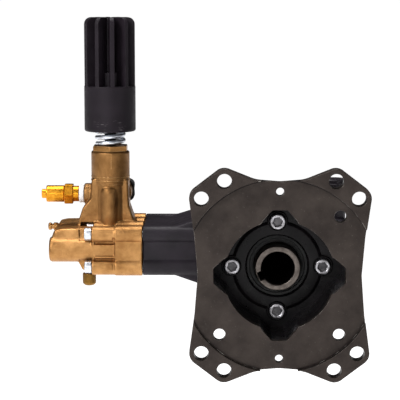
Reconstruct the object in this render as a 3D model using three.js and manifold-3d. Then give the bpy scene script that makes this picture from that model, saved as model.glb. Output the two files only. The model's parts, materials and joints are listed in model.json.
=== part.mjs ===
// Direct-drive triplex plunger pump for a pressure washer.
// Millimetres, +Z up. The origin is the centre of the engine mating plane on the shaft axis.
// +Y runs away from the engine along the shaft, +X points away from the manifold.

import * as THREE from "three";
import { mergeVertices } from "three/addons/utils/BufferGeometryUtils.js";
import Module from "manifold-3d";

const wasm = await Module();
wasm.setup();

// ---------- driving dimensions ----------

const GAP = 0.3;
const OVERCUT = 1;
const FLATNESS = 0.02;

// engine interface: 1 in shaft on a four-ear flange with a 6.5 in bolt circle and a 5.75 in pilot
const BOLT_CIRCLE_R = 82.55;
const PILOT_R = 73.03;
const SHAFT_BORE_R = 12.7;
const KEY_WIDTH = 6.35;
const KEY_DEPTH = 3;
const KEY_ANGLE = 205;

const PLATE_THICKNESS = 10;
const PILOT_DEPTH = 4;
const BOLT_HOLE_R = 5.5;
const BOLT_ANGLES = [45, 60, 120, 135, 225, 240, 300, 315];
const WAIST_X = 61.2;
const WAIST_Z = 70.6;
const EAR_ROUND = 9.2;
const INNER_HOLE = { offset: 44.8, radius: 4.5 };
const SMALL_HOLE = { offset: 63.3, radius: 3 };
const HUB = { ring: 41.4, lobe: 49.4, tip: 5.7, wall: 3.6, floor: 47, back: 52, bore: 24 };
const HUB_SCREW_CIRCLE_R = 35;
const HUB_SCREW_HOLE_R = 4.4;

// crank drive
const PLUNGER_PITCH = 22;
const PUMP_Y = 95;
const PLUNGER_Z = 8.5;
const PLUNGER_YS = [PUMP_Y - PLUNGER_PITCH, PUMP_Y, PUMP_Y + PLUNGER_PITCH];
const ECCENTRICITY = 3.5;
const ECCENTRIC_R = 22;
const ECCENTRIC_WIDTH = 12.6;
const SHAFT_R = 17.5;
const SHAFT_FRONT_Y = 34.4;
const SHAFT_REAR_Y = 138;
const BORE_END_Y = 100;
const REAR_JOURNAL_R = 12.5;
const WEB_R = 18.5;
const ROD_REACH = 62;
const ROD_WIDTH = 12;
const ROD_OUTER_R = 27;
const ROD_EYE = { radius: 4, width: 5.6 };
const PIN = { radius: 2.2, length: 11 };
const CROSSHEAD = { outer: 9.6, inner: 8.6, behind: 5, ahead: 11.4, floor: 3 };
const PLUNGER_R = 7;
const PLUNGER_LENGTH = 54;

// bearings and seal
const FRONT_BEARING = { outer: 27.5, from: 54.3, to: 64.3 };
const REAR_BEARING = { outer: 23.5, from: 126, to: 138 };
const SHAFT_SEAL = { outer: 23.7, from: 47.6, to: 52 };

// crankcase
const CASE = { front: HUB.back + GAP, back: 137, radius: 42, chamber: 32, chamberFrom: 66 };
const JOINT_X = -104.5;
const HEAD_Y = { from: 56, to: 134 };
const CROSSHEAD_BORE_R = 9.9;
const SUMP = { right: 56, top: 34, wall: 5, corner: 7 };
const COVER = { radius: 40, thickness: 6, screwCircle: 36.5, screwHole: 2.8 };
const CASE_GROOVES = { heights: [13.9, 2.6], half: 0.5, end: -66 };
const FILLER = { x: 46, y: 78, neck: 9, neckTop: 50, cap: 12, capTop: 64 };
const SIGHT = { z: -6, boss: 11, glass: 8 };
const DRAIN = { x: 20, radius: 6 };

// manifold
const HEAD = { left: -144.4, step: -126.5 };
const LEFT_HALF = { front: 60, back: 131, bottom: -7.6, top: 25.4 };
const RIGHT_HALF = { front: 58, back: 132, bottom: -9.2, top: 26.6 };
const HEAD_BOLT = { boss: 6.35, high: 21.9, low: -4, head: 5, headHeight: 5.6, shank: 3, reach: 52 };
const HEAD_BOLT_YS = [0, 1, 2, 3].map((i) => PUMP_Y + (i - 1.5) * PLUNGER_PITCH);
const INLET = { x: -178.4, y: 70, z: 8.7, boss: 10, bore: 6.8 };
const GALLERY_X = -157;
const VALVE_X = -128.5;
const COLUMN_X = -131.6;
const BARREL = { radius: 15.3, top: 84.3, socket: 13, socketFrom: 66, bore: 8, boreFrom: 24 };
const RIB = { x: -132, y: 86, radius: 7.8, top: 56 };
const RELIEF_Z = 49.5;
const OUTLET = { x: -125, z: 50, face: 118, boss: 10, bore: 6 };
const SEAL_POCKET = { radius: 10.2, depth: 16 };
const BARB_Z = 23;
const STUB = { x: -147.5, y: 72, radius: 5.3, bottom: -20.3 };

// unloader
const NUT = { across: 26.6, top: 88.7, thread: 12.6, threadFrom: 75 };
const SPRING = { mean: 10.5, wire: 1.65, turns: 5.5, from: NUT.top + GAP, to: 117.7 };
const STEM = { radius: 5, top: 140, headRadius: 9 };
const KNOB = {
  bottom: 100, shoulder: 136, top: 190, skirt: 20.5, upper: 20.2, chamber: 14.2, seat: 121.3,
  hub: 10.5, tube: 6.6, tubeFrom: 147, ribs: 10, ribWidth: 3.4, firstRib: 10, edge: 5.5,
};

// ---------- materials ----------

function finish(color, roughness, metalness) {
  return new THREE.MeshStandardMaterial({ color, roughness, metalness });
}

const FLANGE_GREY = finish(0x4a4540, 0.45, 0.7);
const CASE_BLACK = finish(0x2a262b, 0.6, 0.1);
const BRASS = finish(0xb07a3e, 0.4, 0.9);
const ZINC = finish(0xc9ccd2, 0.3, 0.9);
const STEEL = finish(0x7d756d, 0.35, 0.9);
const BLACK_PLASTIC = finish(0x231f24, 0.65, 0);
const GOLD = finish(0xd98a12, 0.25, 0.9);
const WHITE_PLASTIC = finish(0xe8e6e6, 0.5, 0);
const RUBBER = finish(0x151515, 0.8, 0);
const CERAMIC = finish(0xf1efe8, 0.2, 0);
const BRONZE = finish(0xa9a9ad, 0.45, 0.8);
const CLEAR = finish(0xd7d2c0, 0.1, 0);

// ---------- solids ----------

// A closed three.js geometry becomes a solid that can be joined and cut.
function solid(geometry) {
  const bare = geometry.index ? geometry.toNonIndexed() : geometry.clone();
  bare.deleteAttribute("normal");
  bare.deleteAttribute("uv");
  const merged = mergeVertices(bare, 1e-4);
  const vertProperties = new Float32Array(merged.attributes.position.array);
  const corners = merged.index.array;
  const kept = [];
  for (let i = 0; i < corners.length; i += 3) {
    const [a, b, c] = [corners[i], corners[i + 1], corners[i + 2]];
    if (a !== b && b !== c && c !== a) kept.push(a, b, c);
  }
  const triVerts = Uint32Array.from(kept);
  return new wasm.Manifold(new wasm.Mesh({ numProp: 3, vertProperties, triVerts }));
}

function geometryOf(shape) {
  const mesh = shape.simplify(FLATNESS).getMesh();
  const geometry = new THREE.BufferGeometry();
  geometry.setAttribute("position", new THREE.BufferAttribute(mesh.vertProperties, 3));
  geometry.setIndex(new THREE.BufferAttribute(mesh.triVerts, 1));
  const flat = geometry.toNonIndexed();
  flat.computeVertexNormals();
  return flat;
}

const ALONG_X = new THREE.Matrix4().makeRotationZ(-Math.PI / 2);
const ALONG_Y = new THREE.Matrix4();
const ALONG_Z = new THREE.Matrix4().makeRotationX(Math.PI / 2);

function block(x0, x1, y0, y1, z0, z1) {
  const geometry = new THREE.BoxGeometry(x1 - x0, y1 - y0, z1 - z0);
  geometry.translate((x0 + x1) / 2, (y0 + y1) / 2, (z0 + z1) / 2);
  return solid(geometry);
}

function rod(axis, radius, from, to, centre = [0, 0, 0], sides = 20) {
  const geometry = new THREE.CylinderGeometry(radius, radius, to - from, sides);
  geometry.translate(0, (from + to) / 2, 0);
  geometry.applyMatrix4(axis);
  geometry.translate(...centre);
  return solid(geometry);
}

// A profile of [radius, height] pairs, counter-clockwise seen with the radius to the right.
function turned(axis, profile, centre = [0, 0, 0], sides = 18) {
  const points = profile.map(([r, h]) => new THREE.Vector2(r, h));
  if (profile[0][0] > 0) points.push(points[0].clone());
  const geometry = new THREE.LatheGeometry(points, sides);
  geometry.applyMatrix4(axis);
  geometry.translate(...centre);
  return solid(geometry);
}

function ring(axis, inner, outer, from, to, centre, sides) {
  return turned(axis, [[inner, from], [outer, from], [outer, to], [inner, to]], centre, sides);
}

function extruded(shape, depth) {
  return new THREE.ExtrudeGeometry(shape, { depth, bevelEnabled: false, curveSegments: 6 });
}

// An outline of (x, z) points or a Shape, pushed along Y.
function plateXZ(outline, y0, y1) {
  const shape = Array.isArray(outline) ? shapeOf(outline) : outline;
  const geometry = extruded(shape, y1 - y0);
  geometry.rotateX(Math.PI / 2);
  geometry.translate(0, y1, 0);
  return solid(geometry);
}

function shapeOf(points) {
  return new THREE.Shape(points.map(([a, b]) => new THREE.Vector2(a, b)));
}

function polygon(sides, across, turn = 0) {
  const reach = across / 2 / Math.cos(Math.PI / sides);
  return Array.from({ length: sides }, (_, i) => {
    const angle = ((i + 0.5) / sides) * 2 * Math.PI + turn;
    return [reach * Math.cos(angle), reach * Math.sin(angle)];
  });
}

// A regular prism along an axis; a corner or a flat faces out according to turn.
function prism(axis, sides, across, from, to, centre = [0, 0, 0], turn = 0) {
  const geometry = extruded(shapeOf(polygon(sides, across, turn)), to - from);
  geometry.translate(0, 0, from);
  geometry.rotateX(-Math.PI / 2);
  geometry.applyMatrix4(axis);
  geometry.translate(...centre);
  return solid(geometry);
}

function join(...shapes) {
  return shapes.reduce((whole, shape) => whole.add(shape));
}

function cut(base, ...tools) {
  return tools.reduce((whole, tool) => whole.subtract(tool), base);
}

function part(name, shape, material, position = [0, 0, 0]) {
  const mesh = new THREE.Mesh(geometryOf(shape), material);
  mesh.name = name;
  mesh.position.set(...position);
  return mesh;
}

function polar(radius, degrees) {
  const angle = THREE.MathUtils.degToRad(degrees);
  return [radius * Math.cos(angle), radius * Math.sin(angle)];
}

function arc(radius, fromDegrees, toDegrees, steps) {
  return Array.from({ length: steps + 1 }, (_, i) =>
    polar(radius, fromDegrees + ((toDegrees - fromDegrees) * i) / steps));
}

// ---------- engine flange ----------

// The four-ear plate: each quadrant has two rounded ears and a waist on each axis.
function plateOutline() {
  const [highX, highZ] = polar(BOLT_CIRCLE_R, 60);
  const [lowX, lowZ] = polar(BOLT_CIRCLE_R, 45);
  const quadrant = [[WAIST_X, 0], [WAIST_X + 2.4, 30]];
  for (const [dx, dz] of arc(EAR_ROUND, -12, 52, 4)) quadrant.push([lowX + dx, lowZ + dz]);
  for (const [dx, dz] of arc(EAR_ROUND, 56, 112, 4)) quadrant.push([highX + dx, highZ + dz]);
  quadrant.push([18, WAIST_Z + 1.4]);
  quadrant.push([0, WAIST_Z]);
  const points = [];
  const mirrors = [[1, 1], [-1, 1], [-1, -1], [1, -1]];
  mirrors.forEach(([sx, sz], index) => {
    const run = index % 2 ? [...quadrant].reverse() : quadrant;
    points.push(...run.slice(0, -1).map(([x, z]) => [x * sx, z * sz]));
  });
  return points;
}

// A ring with four flat-tipped lobes on the axes, grown outwards by a wall.
function lobedOutline(grow) {
  const points = [];
  for (let quarter = 0; quarter < 4; quarter += 1) {
    const turn = quarter * 90;
    const tip = HUB.tip + grow * 0.4;
    for (const side of [-1, 1]) {
      const flank = [[HUB.lobe + grow, side * tip], [HUB.ring - 1.2 + grow, side * (tip + 6.2)]];
      if (side < 0) flank.reverse();
      for (const [along, across] of flank) {
        const angle = Math.atan2(across, along);
        const reach = Math.hypot(along, across);
        points.push(polar(reach, turn + THREE.MathUtils.radToDeg(angle)));
      }
    }
    points.push(...arc(HUB.ring + grow, turn + 20, turn + 70, 6));
  }
  return points;
}

function engineFlange() {
  const plate = plateXZ(plateOutline(), 0, PLATE_THICKNESS);
  const hub = plateXZ(lobedOutline(HUB.wall), PLATE_THICKNESS - OVERCUT, HUB.back);
  const recess = rod(ALONG_Y, PILOT_R, -OVERCUT, PILOT_DEPTH, undefined, 48);
  const cavity = plateXZ(lobedOutline(0), -OVERCUT, HUB.floor);
  const tools = [recess, cavity, rod(ALONG_Y, HUB.bore, 0, HUB.back + OVERCUT, undefined, 28)];
  for (const angle of BOLT_ANGLES) {
    const [x, z] = polar(BOLT_CIRCLE_R, angle);
    tools.push(rod(ALONG_Y, BOLT_HOLE_R, -OVERCUT, PLATE_THICKNESS + OVERCUT, [x, 0, z], 16));
  }
  for (const [sx, sz] of [[1, 1], [1, -1], [-1, -1], [-1, 1]]) {
    const depth = sx < 0 && sz > 0 ? PILOT_DEPTH + 1.2 : PLATE_THICKNESS + OVERCUT;
    const centre = [sx * INNER_HOLE.offset, 0, sz * INNER_HOLE.offset];
    tools.push(rod(ALONG_Y, INNER_HOLE.radius, 0, depth, centre, 12));
  }
  for (const side of [-1, 1]) {
    const centre = [0, 0, side * SMALL_HOLE.offset];
    tools.push(rod(ALONG_Y, SMALL_HOLE.radius, 0, PLATE_THICKNESS + OVERCUT, centre, 10));
  }
  for (let quarter = 0; quarter < 4; quarter += 1) {
    const [x, z] = polar(HUB_SCREW_CIRCLE_R, quarter * 90);
    tools.push(rod(ALONG_Y, HUB_SCREW_HOLE_R, HUB.floor - OVERCUT, HUB.back + OVERCUT, [x, 0, z], 8));
  }
  return part("engine_flange", cut(join(plate, hub), ...tools), FLANGE_GREY);
}

// A socket head screw along +Y from its head: the seat of the head is at zero.
function socketScrew(headR, headHeight, shankR, reach, socket) {
  const head = rod(ALONG_Y, headR, -headHeight, 0, undefined, 16);
  const shank = rod(ALONG_Y, shankR, -OVERCUT, reach, undefined, 8);
  const hole = prism(ALONG_Y, 6, socket, -headHeight - OVERCUT, -headHeight / 2);
  return cut(join(head, shank), hole);
}

function flangeScrews() {
  const shape = socketScrew(6, 6, 3.97, 15, 6.4);
  return [0, 1, 2, 3].map((i) => {
    const [x, z] = polar(HUB_SCREW_CIRCLE_R, i * 90);
    return part(`flange_screw_${i + 1}`, shape, ZINC, [x, HUB.floor - GAP, z]);
  });
}

// ---------- crankcase ----------

function crankcase() {
  const drum = rod(ALONG_Y, CASE.radius, CASE.front, CASE.back, undefined, 36);
  const arm = plateXZ([
    [JOINT_X, -10.4], [-82.3, -9.4], [-62.4, -16.4], [-28, -28.5], [0, -30], [0, 42],
    [-14, 42], [-38, 40.6], [-67.6, 31.8], [-82.4, 27.2], [JOINT_X, 27.6],
  ], HEAD_Y.from, HEAD_Y.to);
  const { right, top, corner } = SUMP;
  const sump = plateXZ([
    [0, -top], [right - corner, -top], [right, corner - top],
    [right, top - corner], [right - corner, top], [0, top],
  ], 60, 130);
  const neck = rod(ALONG_Z, FILLER.neck, SUMP.top - 4, FILLER.neckTop, [FILLER.x, FILLER.y, 0]);
  const sight = rod(ALONG_X, SIGHT.boss, SUMP.right - 2, SUMP.right + 3, [0, PUMP_Y, SIGHT.z], 20);
  const drain = rod(ALONG_Z, 10, -45, -30, [DRAIN.x, PUMP_Y, 0], 20);
  const tools = [
    rod(ALONG_Y, CASE.chamber, CASE.chamberFrom, CASE.back + OVERCUT, undefined, 36),
    rod(ALONG_Y, FRONT_BEARING.outer + GAP, FRONT_BEARING.from - GAP, CASE.chamberFrom + 1, undefined, 28),
    rod(ALONG_Y, 22, CASE.front - OVERCUT, CASE.chamberFrom, undefined, 24),
    block(15, SUMP.right - SUMP.wall, 66, 124, -SUMP.top + SUMP.wall, SUMP.top - SUMP.wall),
    rod(ALONG_Z, 6.6, 20, FILLER.neckTop + OVERCUT, [FILLER.x, FILLER.y, 0], 16),
    rod(ALONG_X, SIGHT.glass + GAP, SUMP.right - 8, SUMP.right + 4, [0, PUMP_Y, SIGHT.z], 18),
    rod(ALONG_Z, DRAIN.radius + GAP, -46, -20, [DRAIN.x, PUMP_Y, 0], 16),
  ];
  for (const y of PLUNGER_YS) {
    tools.push(rod(ALONG_X, CROSSHEAD_BORE_R, JOINT_X - OVERCUT, -28, [0, y, PLUNGER_Z], 18));
    tools.push(block(-50, -25, y - 6.6, y + 6.6, -7, 20));
  }
  for (const y of HEAD_BOLT_YS) {
    for (const z of [HEAD_BOLT.high, HEAD_BOLT.low]) {
      tools.push(rod(ALONG_X, HEAD_BOLT.shank + GAP, JOINT_X - OVERCUT, -90, [0, y, z], 8));
    }
  }
  for (let quarter = 0; quarter < 4; quarter += 1) {
    const [x, z] = polar(HUB_SCREW_CIRCLE_R, quarter * 90);
    tools.push(rod(ALONG_Y, HUB_SCREW_HOLE_R, CASE.front - OVERCUT, 63, [x, 0, z], 8));
    const [cx, cz] = polar(COVER.screwCircle, quarter * 90 + 45);
    tools.push(rod(ALONG_Y, COVER.screwHole, CASE.back - 12, CASE.back + OVERCUT, [cx, 0, cz], 8));
  }
  const { heights, half, end } = CASE_GROOVES;
  for (const z of heights) {
    for (const side of [HEAD_Y.from, HEAD_Y.to]) {
      tools.push(block(JOINT_X - OVERCUT, end, side - OVERCUT, side + OVERCUT, z - half, z + half));
    }
  }
  return part("crankcase", cut(join(drum, arm, sump, neck, sight, drain), ...tools), CASE_BLACK);
}

function rearCover() {
  const from = CASE.back + GAP;
  const plate = rod(ALONG_Y, COVER.radius, from, from + COVER.thickness, undefined, 36);
  const spigot = rod(ALONG_Y, CASE.chamber - 0.5, REAR_BEARING.from, from + OVERCUT, undefined, 36);
  const dome = turned(ALONG_Y, [[0, from], [24, from], [24, from + 8], [20, from + 11], [0, from + 11]]);
  const pocket = rod(ALONG_Y, REAR_BEARING.outer + GAP, REAR_BEARING.from - OVERCUT,
    REAR_BEARING.to + GAP, undefined, 28);
  const tools = [pocket, rod(ALONG_Y, 15, 120, SHAFT_REAR_Y + 2, undefined, 24)];
  for (let quarter = 0; quarter < 4; quarter += 1) {
    const [x, z] = polar(COVER.screwCircle, quarter * 90 + 45);
    tools.push(rod(ALONG_Y, COVER.screwHole, from - 2, from + COVER.thickness + OVERCUT, [x, 0, z], 8));
  }
  return part("rear_cover", cut(join(plate, spigot, dome), ...tools), CASE_BLACK);
}

function rearCoverScrews() {
  const seat = CASE.back + 2 * GAP + COVER.thickness;
  const head = rod(ALONG_Y, 4.2, 0, 4.5, undefined, 12);
  const shank = rod(ALONG_Y, 2.5, -16, 1, undefined, 8);
  const shape = cut(join(head, shank), prism(ALONG_Y, 6, 4, 2.2, 5.5));
  return [0, 1, 2, 3].map((i) => {
    const [x, z] = polar(COVER.screwCircle, i * 90 + 45);
    return part(`rear_cover_screw_${i + 1}`, shape, ZINC, [x, seat, z]);
  });
}

function fillerCap() {
  const base = FILLER.neckTop + GAP;
  const cap = prism(ALONG_Z, 12, FILLER.cap * 2, base, FILLER.capTop);
  const plug = rod(ALONG_Z, 6.2, 38, base + OVERCUT, undefined, 16);
  return part("oil_filler_cap", join(cap, plug), BLACK_PLASTIC, [FILLER.x, FILLER.y, 0]);
}

function sightGlass() {
  const shape = rod(ALONG_X, SIGHT.glass, 0, 7, undefined, 24);
  return part("sight_glass", shape, CLEAR, [SUMP.right - 5, PUMP_Y, SIGHT.z]);
}

function drainPlug() {
  const head = prism(ALONG_Z, 6, 14, -50, -45 - GAP);
  const thread = rod(ALONG_Z, DRAIN.radius, -46, -34, undefined, 16);
  return part("drain_plug", join(head, thread), ZINC, [DRAIN.x, PUMP_Y, 0]);
}

function bearing(name, inner, outer, from, to) {
  return part(name, ring(ALONG_Y, inner + GAP, outer, from, to, undefined, 20), STEEL);
}

// ---------- crank drive ----------

// Where the centre of an eccentric stands at rest, 120 degrees apart.
function eccentricCentre(index) {
  const [x, z] = polar(ECCENTRICITY, index * 120);
  return [x, PLUNGER_YS[index], z];
}

function crankshaft() {
  const collarTo = FRONT_BEARING.to + 2.2;
  const shapes = [
    rod(ALONG_Y, SHAFT_R, SHAFT_FRONT_Y, CASE.chamberFrom, undefined, 32),
    rod(ALONG_Y, 19.5, FRONT_BEARING.to + GAP, collarTo, undefined, 24),
    rod(ALONG_Y, WEB_R, CASE.chamberFrom - 1, 124, undefined, 24),
    rod(ALONG_Y, REAR_JOURNAL_R, 123, SHAFT_REAR_Y, undefined, 20),
  ];
  PLUNGER_YS.forEach((y, index) => {
    const [x, , z] = eccentricCentre(index);
    const half = ECCENTRIC_WIDTH / 2;
    shapes.push(rod(ALONG_Y, ECCENTRIC_R, y - half, y + half, [x, 0, z], 26));
  });
  const mouth = turned(ALONG_Y, [
    [0, SHAFT_FRONT_Y - 1], [SHAFT_BORE_R + 2, SHAFT_FRONT_Y - 1], [SHAFT_BORE_R, SHAFT_FRONT_Y + 1],
    [SHAFT_BORE_R, BORE_END_Y], [0, BORE_END_Y],
  ], undefined, 28);
  const slot = new THREE.BoxGeometry(SHAFT_BORE_R + KEY_DEPTH, 60, KEY_WIDTH);
  slot.translate((SHAFT_BORE_R + KEY_DEPTH) / 2, SHAFT_FRONT_Y + 29, 0);
  slot.rotateY(THREE.MathUtils.degToRad(-KEY_ANGLE));
  return part("crankshaft", cut(join(...shapes), mouth, solid(slot)), STEEL);
}

// A one-piece rod, drawn round its own big end and placed on its eccentric.
function connectingRod(index) {
  const big = rod(ALONG_Y, ROD_OUTER_R, -ROD_WIDTH / 2, ROD_WIDTH / 2, undefined, 26);
  const eyeHalf = ROD_EYE.width / 2;
  const eye = rod(ALONG_Y, ROD_EYE.radius, -eyeHalf, eyeHalf, [-ROD_REACH, 0, PLUNGER_Z], 12);
  const slope = Math.atan2(PLUNGER_Z, ROD_REACH);
  const shankBox = new THREE.BoxGeometry(ROD_REACH - 18, ROD_EYE.width, 5.6);
  shankBox.rotateY(slope);
  shankBox.translate(-(ROD_REACH + 18) / 2, 0, (PLUNGER_Z * (ROD_REACH + 18)) / 2 / ROD_REACH);
  const bore = rod(ALONG_Y, ECCENTRIC_R + GAP, -ROD_WIDTH, ROD_WIDTH, undefined, 26);
  const pinHole = rod(ALONG_Y, PIN.radius + GAP, -ROD_WIDTH, ROD_WIDTH, [-ROD_REACH, 0, PLUNGER_Z], 12);
  const shape = cut(join(big, solid(shankBox), eye), bore, pinHole);
  return part(`connecting_rod_${index + 1}`, shape, BRONZE);
}

function wristPin(index) {
  const shape = rod(ALONG_Y, PIN.radius, -PIN.length / 2, PIN.length / 2, undefined, 12);
  return part(`wrist_pin_${index + 1}`, shape, STEEL, [-ROD_REACH, 0, PLUNGER_Z]);
}

// A cup that slides in the crankcase: the mouth faces the crank, the floor drives the plunger.
function crosshead(index) {
  const { outer, inner, behind, ahead, floor } = CROSSHEAD;
  const shape = turned(ALONG_X, [
    [0, -ahead - floor], [outer, -ahead - floor], [outer, behind], [inner, behind], [inner, -ahead],
    [0, -ahead],
  ]);
  return part(`crosshead_${index + 1}`, shape, STEEL);
}

function plunger(index) {
  const back = -CROSSHEAD.ahead - CROSSHEAD.floor - GAP;
  const shape = turned(ALONG_X, [
    [0, back - PLUNGER_LENGTH], [PLUNGER_R - 1.5, back - PLUNGER_LENGTH],
    [PLUNGER_R, back - PLUNGER_LENGTH + 1.5], [PLUNGER_R, back], [0, back],
  ]);
  return part(`plunger_${index + 1}`, shape, CERAMIC);
}

function crankDrive() {
  const drive = new THREE.Group();
  drive.add(crankshaft());
  PLUNGER_YS.forEach((y, index) => {
    const [x, , z] = eccentricCentre(index);
    const swing = new THREE.Group();
    swing.position.set(x, y, z);
    swing.add(connectingRod(index), wristPin(index));
    const slide = new THREE.Group();
    slide.position.set(x - ROD_REACH, y, PLUNGER_Z);
    slide.add(crosshead(index), plunger(index));
    drive.add(swing, slide);
  });
  return drive;
}

// ---------- manifold ----------

function manifoldBody() {
  const right = JOINT_X - GAP;
  const spans = [[HEAD.left, LEFT_HALF], [HEAD.step, RIGHT_HALF]];
  const halves = spans.map(([left, { front, back, bottom, top }]) => (
    block(left, right, front, back, bottom, top)
  ));
  for (const y of HEAD_BOLT_YS) {
    for (const z of [HEAD_BOLT.high, HEAD_BOLT.low]) {
      halves.push(rod(ALONG_X, HEAD_BOLT.boss, HEAD.left, right, [0, y, z], 14));
    }
  }
  const chest = plateXZ([
    [-143, -7.8], [-152.4, -7.8], [-156, -0.7], [-174.5, -0.7], [-177.4, 0.8], [INLET.x, 3.5], [INLET.x, 14],
    [-174.6, 24], [-169, 25.2], [-158, 25.4], [-143, 26],
  ], 66, 126);
  const inlet = rod(ALONG_X, INLET.boss, INLET.x, -143, [0, INLET.y, INLET.z], 24);
  const buttress = plateXZ([
    [-110.4, 25], [-116.3, 41], [-117, 62], [-146, 62], [-147, 47], [-153.6, 39], [-158.6, 25],
  ], 84, 106);
  const barrel = turned(ALONG_Z, [
    [0, 22], [BARREL.radius - 0.6, 22], [BARREL.radius - 0.6, 58], [BARREL.radius, 60],
    [BARREL.radius, BARREL.top - 1.2], [BARREL.radius - 1.2, BARREL.top], [0, BARREL.top],
  ], [COLUMN_X, PUMP_Y, 0], 24);
  const rib = rod(ALONG_Z, RIB.radius, 20, RIB.top, [RIB.x, RIB.y, 0], 20);
  const reliefBoss = rod(ALONG_X, 8.5, -152.6, COLUMN_X, [0, PUMP_Y, RELIEF_Z], 18);
  const outletBoss = rod(ALONG_Y, OUTLET.boss, PUMP_Y, OUTLET.face, [OUTLET.x, 0, OUTLET.z], 20);
  return join(...halves, chest, inlet, buttress, barrel, rib, reliefBoss, outletBoss);
}

function manifoldBores() {
  const right = JOINT_X;
  const tools = [
    rod(ALONG_X, INLET.bore, INLET.x - OVERCUT, GALLERY_X, [0, INLET.y, INLET.z], 20),
    rod(ALONG_Y, 5, 69, 121, [GALLERY_X, 0, PLUNGER_Z], 10),
    rod(ALONG_Y, 4, 70, 120, [VALVE_X, 0, 21.2], 8),
    rod(ALONG_Z, BARREL.bore, BARREL.boreFrom, BARREL.top, [COLUMN_X, PUMP_Y, 0], 18),
    rod(ALONG_Z, BARREL.socket, BARREL.socketFrom, BARREL.top + OVERCUT, [COLUMN_X, PUMP_Y, 0], 24),
    rod(ALONG_X, 4.8, -154, COLUMN_X, [0, PUMP_Y, RELIEF_Z], 10),
    rod(ALONG_Y, OUTLET.bore, PUMP_Y, OUTLET.face + OVERCUT, [OUTLET.x, 0, OUTLET.z], 14),
    rod(ALONG_X, 2.8, -182, -160, [0, PUMP_Y, BARB_Z], 12),
    rod(ALONG_X, 3.5, -182, -173.6, [0, PUMP_Y, BARB_Z], 12),
    rod(ALONG_Z, 3.8, -14, 4, [STUB.x, STUB.y, 0], 12),
  ];
  for (const y of PLUNGER_YS) {
    const centre = [0, y, PLUNGER_Z];
    tools.push(rod(ALONG_X, PLUNGER_R + 0.4, -138, right, centre, 16));
    tools.push(rod(ALONG_X, SEAL_POCKET.radius, right - SEAL_POCKET.depth, right + OVERCUT, centre, 16));
    tools.push(rod(ALONG_X, 6, -151, -137, centre, 12));
    tools.push(rod(ALONG_X, 3, GALLERY_X, -150, centre, 8));
    tools.push(rod(ALONG_Z, 5, 12, 21.2, [VALVE_X, y, 0], 10));
  }
  for (const y of HEAD_BOLT_YS) {
    for (const z of [HEAD_BOLT.high, HEAD_BOLT.low]) {
      tools.push(rod(ALONG_X, HEAD_BOLT.shank + GAP, HEAD.left - OVERCUT, right + OVERCUT, [0, y, z], 8));
      tools.push(rod(ALONG_X, HEAD_BOLT.head + 0.9, -190, HEAD.left, [0, y, z], 12));
    }
  }
  return tools;
}

function manifold() {
  return part("manifold", cut(manifoldBody(), ...manifoldBores()), BRASS);
}

function headBolts() {
  const upright = socketScrew(HEAD_BOLT.head, HEAD_BOLT.headHeight, HEAD_BOLT.shank, HEAD_BOLT.reach, 5);
  const bolts = [];
  for (const z of [HEAD_BOLT.high, HEAD_BOLT.low]) {
    for (const y of HEAD_BOLT_YS) {
      const bolt = part(`head_bolt_${bolts.length + 1}`, upright, ZINC, [HEAD.left - GAP, y, z]);
      bolt.rotation.z = -Math.PI / 2;
      bolts.push(bolt);
    }
  }
  return bolts;
}

function plungerSeals() {
  const from = JOINT_X - SEAL_POCKET.depth + GAP;
  const shape = ring(ALONG_X, PLUNGER_R + GAP, SEAL_POCKET.radius - GAP, from, JOINT_X - 1, undefined, 16);
  return PLUNGER_YS.map((y, i) => part(`plunger_seal_${i + 1}`, shape, RUBBER, [0, y, PLUNGER_Z]));
}

// A poppet along +Y: a disc with a guide stem, used for both rows of valves.
function poppet(discR, stem) {
  return turned(ALONG_Y, [
    [0, 0], [discR - 1, 0], [discR, 1], [discR, 2.4], [1.5, 2.4], [1.5, stem], [0, stem],
  ], undefined, 10);
}

function valves() {
  const inletShape = poppet(4.6, 8);
  const outletShape = poppet(3.6, 5);
  const nodes = [];
  PLUNGER_YS.forEach((y, i) => {
    const inlet = part(`inlet_valve_${i + 1}`, inletShape, STEEL, [-150.6, y, PLUNGER_Z]);
    inlet.rotation.z = -Math.PI / 2;
    const outlet = part(`outlet_valve_${i + 1}`, outletShape, STEEL, [VALVE_X, y, 16.4]);
    outlet.rotation.x = Math.PI / 2;
    nodes.push(inlet, outlet);
  });
  return nodes;
}

function reliefValve() {
  const neckEnd = -156.6 - GAP;
  const turnedBody = turned(ALONG_X, [
    [0, -186.7], [3.6, -186.7], [3.6, -182.9], [6.3, -182.9], [6.7, -182.3], [6.7, -169], [6.25, -168.6],
    [6.25, neckEnd], [4.3, neckEnd], [4.3, -141], [0, -141],
  ], undefined, 14);
  const hex = prism(ALONG_X, 6, 15.2, -168.6, -161.4, undefined, Math.PI / 6);
  const notch = block(-188, -184, -1, 1, 1, 5);
  return part("relief_valve", cut(join(turnedBody, hex), notch), GOLD, [0, PUMP_Y, RELIEF_Z]);
}

function reliefWasher() {
  const shape = ring(ALONG_X, 4.7, 7.1, -156.6, -152.6 - GAP, undefined, 24);
  return part("relief_washer", shape, WHITE_PLASTIC, [0, PUMP_Y, RELIEF_Z]);
}

function injectorBarb() {
  const shape = turned(ALONG_X, [
    [0, -182], [2.6, -182], [3, -181.2], [3, -179.4], [2.2, -179], [2.2, -177.6], [3.1, -177.2],
    [3.1, -174.4], [2.5, -174], [2.5, -162], [0, -162],
  ], undefined, 12);
  return part("injector_barb", shape, BRASS, [0, PUMP_Y, BARB_Z]);
}

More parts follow.
